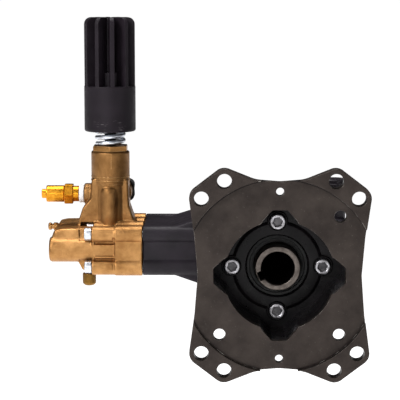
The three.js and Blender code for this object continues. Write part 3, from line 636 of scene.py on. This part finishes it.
def hub_well():
    """The lobed well behind the plate, with its floor and the bore of the shaft seal."""
    piece = Piece("flange_hub", "housing", "flange_metal", [], HUB_BLACK)
    floor = HUB["floor"]
    outer = lobed_outline(HUB["wall"])
    piece.plate("Y", outer, bevelled(PLATE_BACK - 0.6, FLANGE_BACK, 0.5), [lobed_outline(0)])
    screws = [polar(HUB["screws"], 90 * i) for i in range(4)]
    holes = [circle(HUB["bore"], count=96)] + [circle(4.2, c, 24) for c in screws]
    piece.plate("Y", lobed_outline(1.6), bevelled(floor, FLANGE_BACK - 0.05, 0.5), holes)
    for c in screws:
        collar = [
            (5, floor + 1), (8.2, floor + 1), (8.2, floor - 1.2),
            (7.4, floor - 2), (6.6, floor - 2), (5, floor - 1),
        ]
        piece.ring("Y", collar, (c[0], 0, c[1]), 40)
    step = [(24, floor + 1), (36.5, floor + 1), (33.5, floor - 1.4), (32.5, floor - 2), (24.8, floor - 2),
            (24, floor - 1.2)]
    piece.ring("Y", step, count=96)
    piece.done()


# ---------- screws ----------

def socket_head(piece, axis, seat, tip, radius, across, centre):
    """A cap screw head between its seat and its outer end, with a hexagon socket."""
    way = 1 if tip > seat else -1
    outline = circle(radius, count=40)
    middle = seat + (tip - seat) * 0.45
    levels = [(middle, 0.0), (tip - way * 0.7, 0.0), (tip - way * 0.25, 0.22), (tip, 0.7)]
    piece.plate(axis, outline, levels, [hexagon(across, 12)], centre=centre)
    joined = middle + way * 0.05
    skirt = [(0, seat), (radius - 0.3, seat), (radius, seat + way * 0.3), (radius, joined), (0, joined)]
    piece.turned(axis, skirt, centre, 40)


def socket_shadows(screws, axis, depth, radius):
    """Painted shadow: a dark disc at the unlit bottom of each socket."""
    piece = Piece(f"{screws[0]}_socket", "housing", "zinc", [], SOCKET_SHADOW_GREY)
    along = "XYZ".index(axis)
    for node in screws:
        low, high = box_mm(node)
        centre = (low + high) / 2
        tip = low[along] + depth
        centre[along] = 0
        piece.turned(axis, [(0, tip), (radius, tip), (radius, tip + 0.6), (0, tip + 0.6)], centre, 24)
    piece.done()


def cap_screws(prefix, count, axis, outward, radius, height, across, material):
    for index in range(count):
        node = f"{prefix}_{index + 1}"
        low, high = box_mm(node)
        piece = Piece(f"{node}_fine", "housing", "zinc", [node], material)
        along = "XYZ".index(axis)
        tip = high[along] if outward > 0 else low[along]
        far = low[along] if outward > 0 else high[along]
        seat = tip - outward * height
        centre = (low + high) / 2
        centre[along] = 0
        socket_head(piece, axis, seat, tip, radius, across, centre)
        shank = (high - low)[(along + 1) % 3] / 2 * 0.6
        piece.turned(axis, [(0, seat), (shank, seat), (shank, far), (0, far)], centre, 20)
        piece.done()


# ---------- shaft, seal and crank ----------

def bore_outline():
    """The shaft bore with its key slot."""
    half = KEY["width"] / 2
    open_angle = math.degrees(math.asin(half / SHAFT_BORE_R))
    start = KEY["angle"] + open_angle
    points = arc(SHAFT_BORE_R, start, start + 360 - 2 * open_angle, 60)
    reach = math.hypot(KEY["reach"], half)
    spread = math.degrees(math.atan2(half, KEY["reach"]))
    points.append(polar(reach, KEY["angle"] - spread))
    points.append(polar(reach, KEY["angle"] + spread))
    return points


def crank():
    piece = Piece("crankshaft_fine", "crank", "steel", ["crankshaft"], STEEL)
    y = SHAFT_LOW.y
    outer = circle(SHAFT_R, count=96)
    levels = [(y, 0.9), (y + 0.35, 0.3), (y + 1.0, 0.0), (66.0, 0.0)]
    piece.plate("Y", outer, levels, [bore_outline()])
    web = circle(JOURNAL_R, count=96)
    piece.plate("Y", web, [(65.0, 0.0), (100.0, 0.0)], [bore_outline()])
    piece.ring("Y", [(17.4, 64.8), (19.5, 64.8), (19.5, 66.6), (17.4, 66.6)], count=64)
    tail = [(0, 99.5), (JOURNAL_R, 99.5), (JOURNAL_R, 124), (12.5, 124), (12.5, SHAFT_HIGH.y - 0.6)]
    piece.turned("Y", tail + [(11.9, SHAFT_HIGH.y), (0, SHAFT_HIGH.y)])
    for index in range(3):
        x, z = polar(ECCENTRICITY, 120 * index)
        middle = PUMP_Y + (index - 1) * PITCH
        profile = [(16.5, -6.3), (21.6, -6.3), (22, -5.9), (22, 5.9), (21.6, 6.3), (16.5, 6.3)]
        profile = [(r, h + middle) for r, h in profile]
        if index == 2:
            profile[0], profile[-1] = (17.9, profile[0][1]), (17.9, profile[-1][1])
        piece.ring("Y", profile, (x, 0, z), 72)
    piece.done()


def bore_shadow_sheet():
    """Painted shade: a near-black sheet over the wall and end of the shaft bore."""
    piece = Piece("bore_shadow_sheet", "crank", "steel", [], UNLIT)
    y = SHAFT_LOW.y
    sheet_inside = [(p[0] * 0.985, p[1] * 0.985) for p in bore_outline()]
    piece.plate("Y", bore_outline(), [(y + 2.2, 0.0), (SHAFT_BORE_END, 0.0)], [sheet_inside])
    piece.turned("Y", [(0, 98.5), (12.6, 98.5), (12.6, 99.6), (0, 99.6)], count=48)
    piece.done()


def shaft_seal():
    low, high = box_mm("shaft_seal")
    piece = Piece("shaft_seal_fine", "housing", "rubber_black", ["shaft_seal"], RUBBER)
    outer = (high.x - low.x) / 2
    front, back = low.y, high.y
    lip = [
        (17.8, front + 2.2), (18.6, front + 0.9), (19.6, front + 1.6),
        (21, front + 1.6), (21.6, front + 0.2),
    ]
    case = [(outer - 0.4, front), (outer, front + 0.5), (outer, back), (17.9, back)]
    piece.ring("Y", lip + case, count=96)
    piece.done()


# ---------- unloader ----------

def knob():
    piece = Piece("knob_fine", "knob", "knob_black", ["adjusting_knob"], KNOB_PLASTIC)
    skirt = (KNOB_HIGH.x - KNOB_LOW.x) / 2
    bottom, top = KNOB_LOW.z, KNOB_HIGH.z
    shoulder, seat = bottom + 36, bottom + 21.3
    upper, hub, chamber, edge = KNOB["upper"], KNOB["hub"], KNOB["chamber"], KNOB["edge"]
    centre = (COLUMN.x, COLUMN.y, 0)
    shell = soften([(chamber, seat), (chamber, bottom + 0.4), (chamber + 0.8, bottom), (skirt, bottom),
                    (skirt - 0.05, shoulder - 0.6), (upper, shoulder), (hub, shoulder)], 1.9, 5, closed=False)
    tube = soften([(hub, bottom + 46.4), (hub - 0.8, bottom + 47), (6.7, bottom + 47.2),
                   (6.5, top - 1.2), (5.4, top - 0.6)], 0.5, 3, closed=False)
    stem_hole = [(0, bottom + 50), (STEM_HOLE_R, bottom + 50), (STEM_HOLE_R, seat)]
    piece.turned("Z", stem_hole + shell + tube + [(0, top - 0.6)], centre, 96)
    fin = [(6.0, shoulder - 1.0), (upper, shoulder - 1.0)]
    fin += arc(edge, 0, 90, 8, (upper - edge, top - edge)) + [(6.0, top)]
    half = KNOB["rib_half"]
    face = [(half - 0.45, 0), (half - 0.14, 0.14), (half, 0.45)]
    levels = [(-height, step) for height, step in reversed(face)] + face
    for index in range(KNOB["ribs"]):
        turn = Matrix.Rotation(math.radians(KNOB["first_rib"] + 360 * index / KNOB["ribs"]), 4, "Z")
        piece.plate("Y", fin, levels, place=Matrix.Translation(centre) @ turn)
    piece.done()


def spring():
    low, high = box_mm("unloader_spring")
    piece = Piece("spring_fine", "housing", "zinc", ["unloader_spring"], ZINC)
    wire = SPRING["wire"]
    mean = (high.x - low.x) / 2 - wire
    per_turn = 48
    start, end = low.z + wire, high.z - wire
    path = []
    total = int(SPRING["turns"] * per_turn)
    for i in range(total + 1):
        angle = TAU * i / per_turn + math.radians(SPRING["start"])
        path.append(Vector((COLUMN.x + mean * math.cos(angle), COLUMN.y + mean * math.sin(angle),
                            start + (end - start) * i / total)))
    piece.sweep(path, wire)
    made = piece.done(60)
    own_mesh(made)


def stem_and_seat():
    low, high = box_mm("unloader_stem")
    centre = (COLUMN.x, COLUMN.y, 0)
    stem = Piece("stem_fine", "housing", "steel", ["unloader_stem"], STEM_BLACK)
    profile = [(0, low.z), (9, low.z), (9, 74), (4.6, 74.2)]
    crest = 76.0
    while crest < high.z - 2:
        profile += [(4.45, crest), (4.95, crest + 0.5), (4.95, crest + 0.7), (4.45, crest + 1.2)]
        crest += 1.5
    stem.turned("Z", profile + [(4.2, high.z), (0, high.z)], centre, 40)
    stem.done(50)
    low, high = box_mm("spring_seat")
    seat = Piece("spring_seat_fine", "adjuster", "zinc", ["spring_seat"], ZINC)
    outer = (high.x - low.x) / 2
    seat.ring("Z", soften([(5.4, low.z), (outer, low.z), (outer, high.z), (5.4, high.z)], 0.4, 3), centre)
    seat.done()


def unloader_nut():
    low, high = box_mm("unloader_nut")
    piece = Piece("unloader_nut_fine", "housing", "brass_cast", ["unloader_nut"], BRASS_TURNED)
    centre = (COLUMN.x, COLUMN.y, 0)
    outline = soften(hexagon(NUT_ACROSS, 90), 0.8, 3)
    hexa = HEAD_HIGH.z + 0.25
    levels = [(hexa, 0.0), (high.z - 0.9, 0.0), (high.z - 0.25, 0.3), (high.z, 0.9)]
    piece.plate("Z", outline, levels, [circle(5.4, count=40)], centre=centre)
    piece.ring("Z", [(5.4, low.z), (12.4, low.z), (12.4, hexa + 0.2), (5.4, hexa + 0.2)], centre)
    piece.done()


def relief_valve():
    low, high = box_mm("relief_valve")
    middle = (low + high) / 2
    centre = (0, PUMP_Y, middle.z)
    piece = Piece("relief_valve_fine", "housing", "gold", ["relief_valve"], GOLD)
    x = low.x
    body = soften([(3.4, x), (3.7, x + 0.4), (3.7, x + 3.6), (6.5, x + 3.8), (6.7, x + 4.6), (6.7, x + 17.6),
                   (6.1, x + 18.2), (6.1, x + 25.2), (6.25, x + 25.4), (6.25, x + 29.8), (4.3, x + 29.9),
                   (4.3, high.x)], 0.4, 3, closed=False)
    piece.turned("X", [(0, x)] + body + [(0, high.x)], centre, 64)
    hexed(piece, "X", 15.2, x + 18.1, x + 25.3, 0.8, centre)
    piece.done()
    low, high = box_mm("relief_washer")
    washer = Piece("relief_washer_fine", "housing", "white_plastic", ["relief_washer"], WHITE)
    washer.ring("X", soften([(4.7, low.x), (7.1, low.x), (7.1, high.x), (4.7, high.x)], 0.35, 3), centre, 48)
    washer.done()


def injector_barb():
    low, high = box_mm("injector_barb")
    piece = Piece("injector_barb_fine", "housing", "brass_cast", ["injector_barb"], BRASS_TURNED)
    x = low.x
    profile = [(0, x), (1.5, x), (1.5, x + 0.01), (2.4, x + 0.2), (3, x + 0.9), (3, x + 2.4), (2.2, x + 2.9),
               (2.2, x + 4.2), (3.1, x + 4.6), (3.1, x + 7.4), (2.5, x + 7.9), (2.5, high.x), (0, high.x)]
    piece.turned("X", profile, (0, PUMP_Y, (low.z + high.z) / 2), 40)
    piece.done()


def bypass_plug():
    low, high = box_mm("bypass_plug")
    middle = (low + high) / 2
    piece = Piece("bypass_plug_fine", "housing", "brass_cast", ["bypass_plug"], BRASS_DARK)
    z = low.z
    profile = soften([(0, z), (3.6, z), (5.3, z + 1.6), (5.3, -10.6), (3.4, -10.6),
                      (3.4, high.z), (0, high.z)], 1.2, 4, closed=False)
    piece.turned("Z", profile, (middle.x, middle.y, 0), 48)
    piece.done()


def outlet_cap():
    low, high = box_mm("outlet_cap")
    middle = (low + high) / 2
    piece = Piece("outlet_cap_fine", "housing", "knob_black", ["outlet_cap"], RUBBER)
    lobes = [polar(11.85 + 0.7 * math.cos(math.radians(6 * (a - 30))), a) for a in range(0, 360, 4)]
    centre = (middle.x, 0, middle.z)
    lid = high.y - 5.2
    steps = 4
    piece.plate("Y", lobes, bevelled(low.y, lid, 1.1, steps, both=False), [circle(10.3)], centre=centre)
    piece.plate("Y", lobes, bevelled(lid, high.y, 1.1, steps)[steps:], centre=centre)
    button = [(0, high.y - 1), (5.5, high.y - 1), (5.5, high.y - 0.3), (4.9, high.y), (0, high.y)]
    piece.turned("Y", button, centre, 40)
    piece.done()


# ---------- castings ----------

def bare_object(piece):
    """The islands of a piece as a plain object in metres."""
    bmesh.ops.recalc_face_normals(piece.mesh, faces=piece.mesh.faces)
    bmesh.ops.scale(piece.mesh, vec=(MM, MM, MM), verts=piece.mesh.verts)
    data = bpy.data.meshes.new(piece.name)
    piece.mesh.to_mesh(data)
    piece.mesh.free()
    return placed(piece.name, data)


def cast(piece, tools, grain, rounds=3, keep=0.4):
    """Joins the islands, cuts them with the tools, and fills the inner corners as a casting has them.

    grain is the voxel size in millimetres, rounds the smoothing and keep the share of faces left.
    """
    rough, cutter = bare_object(piece), bare_object(tools)
    hollow = rough.modifiers.new("hollow", "BOOLEAN")
    hollow.operation = "DIFFERENCE"
    hollow.object = cutter
    hollow.solver = "EXACT"
    hollow.use_self = True
    skin = rough.modifiers.new("skin", "REMESH")
    skin.mode = "VOXEL"
    skin.voxel_size = grain * MM
    fillet = rough.modifiers.new("fillet", "SMOOTH")
    fillet.iterations = rounds
    fillet.factor = 0.5
    lighter = rough.modifiers.new("lighter", "DECIMATE")
    lighter.ratio = keep
    graph = bpy.context.evaluated_depsgraph_get()
    data = bpy.data.meshes.new_from_object(rough.evaluated_get(graph))
    for spare in (rough, cutter):
        bpy.data.objects.remove(spare)
    for polygon in data.polygons:
        polygon.use_smooth = True
    data.materials.clear()
    data.materials.append(piece.material)
    obj = placed(piece.name, data)
    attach(obj, piece.body)
    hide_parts(*piece.replaced)


def slab(piece, x, y, z, corner, edge):
    """A block between two corners with rounded edges."""
    outline = soften([(x[0], z[0]), (x[1], z[0]), (x[1], z[1]), (x[0], z[1])], corner, 3)
    piece.plate("Y", outline, bevelled(*y, edge))


def manifold():
    piece = Piece("manifold_fine", "housing", "brass_cast", ["manifold"], BRASS)
    slab(piece, (HEAD_FACE, STEP + 2), HEAD_HALF["y"], HEAD_HALF["z"], 1.5, 1.0)
    slab(piece, (STEP, JOINT), CASE_HALF["y"], CASE_HALF["z"], 1.2, 1.0)
    for y, z in BOLT_PLACES:
        for start, nose, side, lead in ((HEAD_FACE, 5.9, 6.35, 0.4), (STEP, 6.4, 6.9, 0.6)):
            boss = [(0, start), (nose, start), (side, start + lead), (side, JOINT), (0, JOINT)]
            piece.turned("X", boss, (0, y, z), 40)
    left = HEAD_LOW.x
    chest = soften([(-143, -7.8), (-152.4, -7.8), (-156, -0.7), (-174.5, -0.7), (left + 1, 0.8), (left, 3.5),
                    (left, 14), (-174.6, 24), (-169, 25.2), (-158, 25.4), (-143, 26)], 2.5, 4)
    piece.plate("Y", chest, bevelled(66, 126, 2.5, 4))
    inlet = INLET["boss"]
    boss = [(0, left), (8.2, left), (9.3, left + 0.5), (inlet, left + 1.8), (inlet, STEP), (0, STEP)]
    piece.turned("X", boss, (0, INLET["y"], INLET["z"]), 64)
    buttress = soften([(-110.4, 24), (-116.3, 41), (-117, 63), (-146, 63),
                       (-147, 47), (-153.6, 39), (-158.6, 24)], 3, 4)
    piece.plate("Y", buttress, bevelled(84, 106, 1.5))
    barrel = [(0, 22), (14.7, 22), (14.7, 57.6), (15.3, 59), (15.3, HEAD_HIGH.z - 1), (14.3, HEAD_HIGH.z),
              (0, HEAD_HIGH.z)]
    piece.turned("Z", barrel, (COLUMN.x, PUMP_Y, 0), 96)
    rib, tip = RIB["radius"], RIB["top"]
    finger = [(0, 20), (rib, 20), (rib, tip - 5.5), (7.2, tip - 2.5), (5.5, tip - 0.5), (0, tip)]
    piece.turned("Z", finger, (RIB["x"], RIB["y"], 0), 56)
    side = RELIEF["radius"]
    port = [(0, -152.6), (7.7, -152.6), (side, -151.8), (side, COLUMN.x), (0, COLUMN.x)]
    piece.turned("X", port, (0, PUMP_Y, RELIEF["z"]), 56)
    outlet, back = OUTLET["radius"], OUTLET["back"]
    stub = [(0, PUMP_Y), (outlet, PUMP_Y), (outlet, back), (0, back)]
    piece.turned("Y", stub, (OUTLET["x"], 0, OUTLET["z"]), 56)
    slab(piece, (HEAD_FACE + 2, STEP + 1), (58.6, 64), (3.2, 4.9), 0.4, 0.4)
    tools = Piece("manifold_tools", "housing", "brass_cast", [], BRASS)
    bore = INLET["bore"]
    mouth = [(0, left - 2), (7.6, left - 2), (bore, left + 0.8), (bore, -157), (0, -157)]
    tools.turned("X", mouth, (0, INLET["y"], INLET["z"]), 48)
    for y, z in BOLT_PLACES:
        tools.turned("X", [(0, -155), (5.9, -155), (5.9, HEAD_FACE), (0, HEAD_FACE)], (0, y, z), 36)
    step = JOINT - 16
    pocket = [(0, -138), (7.5, -138), (7.5, step), (10.2, step), (10.2, JOINT + 2), (0, JOINT + 2)]
    for y in PLUNGERS:
        tools.turned("X", pocket, (0, y, PLUNGER_Z), 32)
    slab(tools, (HEAD_FACE + 1.5, STEP - 0.2), (50, 62.4), (13.9, 16.2), 0.4, 0.3)
    slab(tools, (HEAD_FACE + 1.5, STEP - 0.2), (50, 61.6), (0.8, 2.6), 0.4, 0.3)
    slab(tools, (STEP - 1.2, STEP + 0.1), (50, 58.4), (13.5, 20.5), 0.4, 0.3)
    slab(tools, (STEP - 1.4, STEP - 0.2), (50, 57.2), (-5.5, -1), 0.4, 0.3)
    column = [(0, 30), (8, 30), (8, 66), (13, 66), (13, HEAD_HIGH.z + 2), (0, HEAD_HIGH.z + 2)]
    tools.turned("Z", column, (COLUMN.x, PUMP_Y, 0), 48)
    cast(piece, tools, grain=0.5)
    bands = Piece("manifold_bands", "housing", "brass_cast", [], BRASS_TURNED)
    for z, reach in ((57.8, 15.5), (60.6, 15.7), (63.4, 15.5)):
        band = [
            (14, z), (reach - 0.3, z), (reach, z + 0.3),
            (reach, z + 0.8), (reach - 0.3, z + 1.1), (14, z + 1.1),
        ]
        bands.ring("Z", band, (COLUMN.x, PUMP_Y, 0), 96)
    seam = COLUMN.x + 1.3
    slab(bands, (seam, seam + 0.6), (PUMP_Y - 15.6, PUMP_Y - 14), (71, HEAD_HIGH.z - 1), 0.2, 0.1)
    bands.done()


def crankcase():
    piece = Piece("crankcase_fine", "housing", "case_black", ["crankcase"], CASE_BLACK)
    front, back = CASE_LOW.y, CASE_HIGH.y
    drum = [
        (0, front), (CASE_R - 1.5, front), (CASE_R, front + 1.5),
        (CASE_R, back - 0.8), (CASE_R - 0.8, back), (0, back),
    ]
    piece.turned("Y", drum, count=120)
    joint = CASE_LOW.x
    arm = soften([(joint, -10.4), (-82.3, -9.4), (-62.4, -16.4), (-28, -28.5), (0, -30), (0, 42), (-14, 42),
                  (-38, 40.6), (-67.6, 31.8), (-82.4, 27.2), (joint, 27.6)], 1.5, 3)
    piece.plate("Y", arm, bevelled(59.6, 130.4, 1.2))
    for y, z in BOLT_PLACES:
        if y < 70 or y > 120:
            side = 62.6 if y < 70 else 127.4
            piece.turned("X", [(0, joint), (6.6, joint), (6.6, -60), (3, -50), (0, -50)], (0, side, z), 40)
    slab(piece, (0, 56), (60, 130), (-34, 34), 7, 2.5)
    filler, sight, drain = centre_mm("oil_filler_cap"), centre_mm("sight_glass"), centre_mm("drain_plug")
    piece.turned("Z", [(0, 28), (9, 28), (9, 49.4), (8.4, 50), (0, 50)], (filler.x, filler.y, 0), 48)
    piece.turned("X", [(0, 50), (11, 50), (11, 58), (10, 59), (0, 59)], (0, sight.y, sight.z), 56)
    piece.turned("Z", [(0, -28), (10, -28), (10, -44), (9, -45), (0, -45)], (drain.x, drain.y, 0), 48)
    tools = Piece("crankcase_tools", "housing", "case_black", [], CASE_BLACK)
    chamber = [(0, 50), (22, 50), (22, 54), (27.8, 54), (27.8, 66), (32, 66), (32, 140), (0, 140)]
    tools.turned("Y", chamber, count=96)
    for y in PLUNGERS:
        tools.turned("X", [(0, joint - 2), (9.9, joint - 2), (9.9, -28), (0, -28)], (0, y, PLUNGER_Z), 48)
        slab(tools, (-50, -25), (y - 6.6, y + 6.6), (-7, 20), 0.5, 0.3)
    slab(tools, (15, 51), (66, 124), (-29, 29), 2, 1)
    tools.turned("Z", [(0, 20), (6.6, 20), (6.6, 52), (0, 52)], (filler.x, filler.y, 0), 32)
    tools.turned("X", [(0, 48), (8.3, 48), (8.3, 61), (0, 61)], (0, sight.y, sight.z), 48)
    tools.turned("Z", [(0, -20), (6.3, -20), (6.3, -46), (0, -46)], (drain.x, drain.y, 0), 32)
    cast(piece, tools, grain=0.7)


def rear_cover():
    low, high = box_mm("rear_cover")
    piece = Piece("rear_cover_fine", "housing", "case_black", ["rear_cover"], CASE_BLACK)
    back = high.y - 5
    inner = [(0, 141), (15, 141), (15, low.y)]
    rim = [(31.5, low.y), (31.5, back - 6), (39.2, back - 6), (40, back - 5.2), (40, back - 1.2), (39, back)]
    dome = [(25.5, back), (24, back + 0.8), (24, back + 2.4), (23.2, back + 4), (20, high.y), (0, high.y)]
    piece.turned("Y", inner + rim + dome, count=96)
    for spoke in range(8):
        turn = Matrix.Rotation(math.radians(22.5 + 45 * spoke), 4, "Y")
        rib = [(23, back - 1), (36, back - 1), (36, back + 0.2), (23, back + 3)]
        piece.plate("Z", rib, [(-1, 0.3), (-0.7, 0), (0.7, 0), (1, 0.3)], place=turn)
    piece.done()


def filler_cap():
    low, high = box_mm("oil_filler_cap")
    middle = (low + high) / 2
    piece = Piece("oil_filler_cap_fine", "housing", "knob_black", ["oil_filler_cap"], KNOB_PLASTIC)
    scallops = [polar(11.6 + 0.4 * math.cos(math.radians(12 * a)), a) for a in range(0, 360, 3)]
    centre = (middle.x, middle.y, 0)
    piece.plate("Z", scallops, bevelled(high.z - 13.7, high.z - 3, 0.8), centre=centre)
    button = [(0, high.z - 3.5), (9.4, high.z - 3.5), (9.4, high.z - 0.8), (8.6, high.z), (0, high.z)]
    piece.turned("Z", button, centre, 56)
    piece.turned("Z", [(0, low.z), (6.2, low.z), (6.2, high.z - 12), (0, high.z - 12)], centre, 32)
    piece.done()


def drain_plug():
    low, high = box_mm("drain_plug")
    middle = (low + high) / 2
    piece = Piece("drain_plug_fine", "housing", "zinc", ["drain_plug"], ZINC)
    centre = (middle.x, middle.y, 0)
    hexed(piece, "Z", 14, low.z, low.z + 4.7, 0.7, centre)
    piece.turned("Z", [(0, low.z + 4), (6, low.z + 4), (6, high.z), (0, high.z)], centre, 32)
    piece.done()


def sight_glass():
    low, high = box_mm("sight_glass")
    middle = (low + high) / 2
    piece = Piece("sight_glass_fine", "housing", "sight_clear", ["sight_glass"], SIGHT_CLEAR)
    window = [(0, low.x), (8, low.x), (8, high.x - 0.8), (7.4, high.x - 0.2), (6, high.x), (0, high.x)]
    piece.turned("X", window, (0, middle.y, middle.z), 56)
    piece.done()


PARTS = (
    engine_flange, hub_well, crank, bore_shadow_sheet, shaft_seal, knob, spring, stem_and_seat, unloader_nut,
    relief_valve, injector_barb, bypass_plug, outlet_cap, manifold, crankcase, rear_cover, filler_cap,
    drain_plug, sight_glass,
)
for build in PARTS:
    build()
cap_screws("flange_screw", 4, "Y", -1, 6.0, 6.0, 6.4, ZINC_DULL)
cap_screws("head_bolt", 8, "X", -1, 5.0, 5.6, 5.0, ZINC)
cap_screws("rear_cover_screw", 4, "Y", 1, 4.2, 4.5, 4.0, ZINC)
socket_shadows([f"flange_screw_{i + 1}" for i in range(4)], "Y", 2.2, 4.2)
socket_shadows([f"head_bolt_{i + 1}" for i in range(8)], "X", 2.2, 3.2)

NODE_MATERIALS = {
    "flange_metal": FLANGE_METAL,
    "case_black": CASE_BLACK,
    "brass_cast": BRASS,
    "zinc": ZINC,
    "steel": STEEL,
    "knob_black": KNOB_PLASTIC,
    "gold": GOLD,
    "white_plastic": WHITE,
    "rubber_black": RUBBER,
    "ceramic": CERAMIC,
    "rod_alloy": ROD_ALLOY,
    "sight_clear": SIGHT_CLEAR,
}
for row in frame["record"]["subparts"]:
    node = frame["nodes"][row["node"]]
    node.data.materials.clear()
    node.data.materials.append(NODE_MATERIALS[row["material_slot"]])


# ---------- stage ----------

# the camera looks nearly from the front, eight degrees down
FORWARD = Vector((-0.00743, 0.99026, -0.13905))
LOOK_AT = Vector((-0.05932, 0.0, 0.05772))
CAMERA_DISTANCE = 1.1
LENS = 134.2
FLOOR = {"z": -0.3, "tiles": 8, "tile": 40.0}


def camera():
    data = bpy.data.cameras.new("camera")
    data.lens = LENS
    data.sensor_width = 36
    data.clip_end = 600
    eye = placed("camera", data)
    eye.location = LOOK_AT - FORWARD * CAMERA_DISTANCE
    eye.rotation_euler = FORWARD.to_track_quat("-Z", "Y").to_euler()
    bpy.context.scene.camera = eye


def area_light(name, place, target, size, power):
    data = bpy.data.lights.new(name, "AREA")
    data.shape = "RECTANGLE"
    data.size, data.size_y = size
    data.energy = power
    light = placed(name, data)
    light.location = place
    light.rotation_euler = (Vector(target) - Vector(place)).to_track_quat("-Z", "Y").to_euler()


def stage():
    surface = Surface("floor", (0.6, 0.6, 0.6), 0.9, 0.0, 0.0)
    surface.shader.inputs["Emission Color"].default_value = (1, 1, 1, 1)
    surface.shader.inputs["Emission Strength"].default_value = 1.0
    tiles, tile = FLOOR["tiles"], FLOOR["tile"]
    row = tiles + 1
    mesh = bmesh.new()
    for i in range(row):
        for j in range(row):
            mesh.verts.new(((i - tiles / 2) * tile, (j - tiles / 2) * tile, FLOOR["z"]))
    mesh.verts.ensure_lookup_table()
    for i in range(tiles):
        for j in range(tiles):
            a = i * row + j
            mesh.faces.new([mesh.verts[k] for k in (a, a + row, a + row + 1, a + 1)])
    data = bpy.data.meshes.new("floor")
    mesh.to_mesh(data)
    mesh.free()
    data.materials.append(surface.material)
    floor = placed("floor", data)
    world = bpy.data.worlds.new("world")
    world.use_nodes = True
    tree = world.node_tree
    direction = tree.nodes.new("ShaderNodeTexCoord").outputs["Generated"]
    towards = tree.nodes.new("ShaderNodeVectorMath")
    towards.operation = "DOT_PRODUCT"
    towards.inputs[1].default_value = (-0.5, 0.0, 0.87)
    tree.links.new(direction, towards.inputs[0])
    bright = tree.nodes.new("ShaderNodeMapRange")
    for key, number in (("From Min", -0.3), ("From Max", 1.0), ("To Min", 0.05), ("To Max", 0.75)):
        bright.inputs[key].default_value = number
    tree.links.new(towards.outputs["Value"], bright.inputs["Value"])
    tree.links.new(bright.outputs["Result"], tree.nodes["Background"].inputs["Strength"])
    bpy.context.scene.world = world
    bpy.context.scene.view_settings.view_transform = "Standard"


camera()
stage()
area_light("key", (-0.8, -0.75, 0.75), (-0.06, 0.05, 0.05), (0.45, 0.6), 13)
area_light("fill", (0.9, -0.8, 0.4), (-0.06, 0.05, 0.05), (0.3, 0.9), 2.5)
area_light("low_front", (-0.3, -1.2, 0.25), (-0.1, 0.05, 0.0), (0.5, 0.25), 2.5)
area_light("overhead", (-0.15, 0.25, 1.1), (-0.06, 0.08, 0.0), (0.8, 0.6), 14)
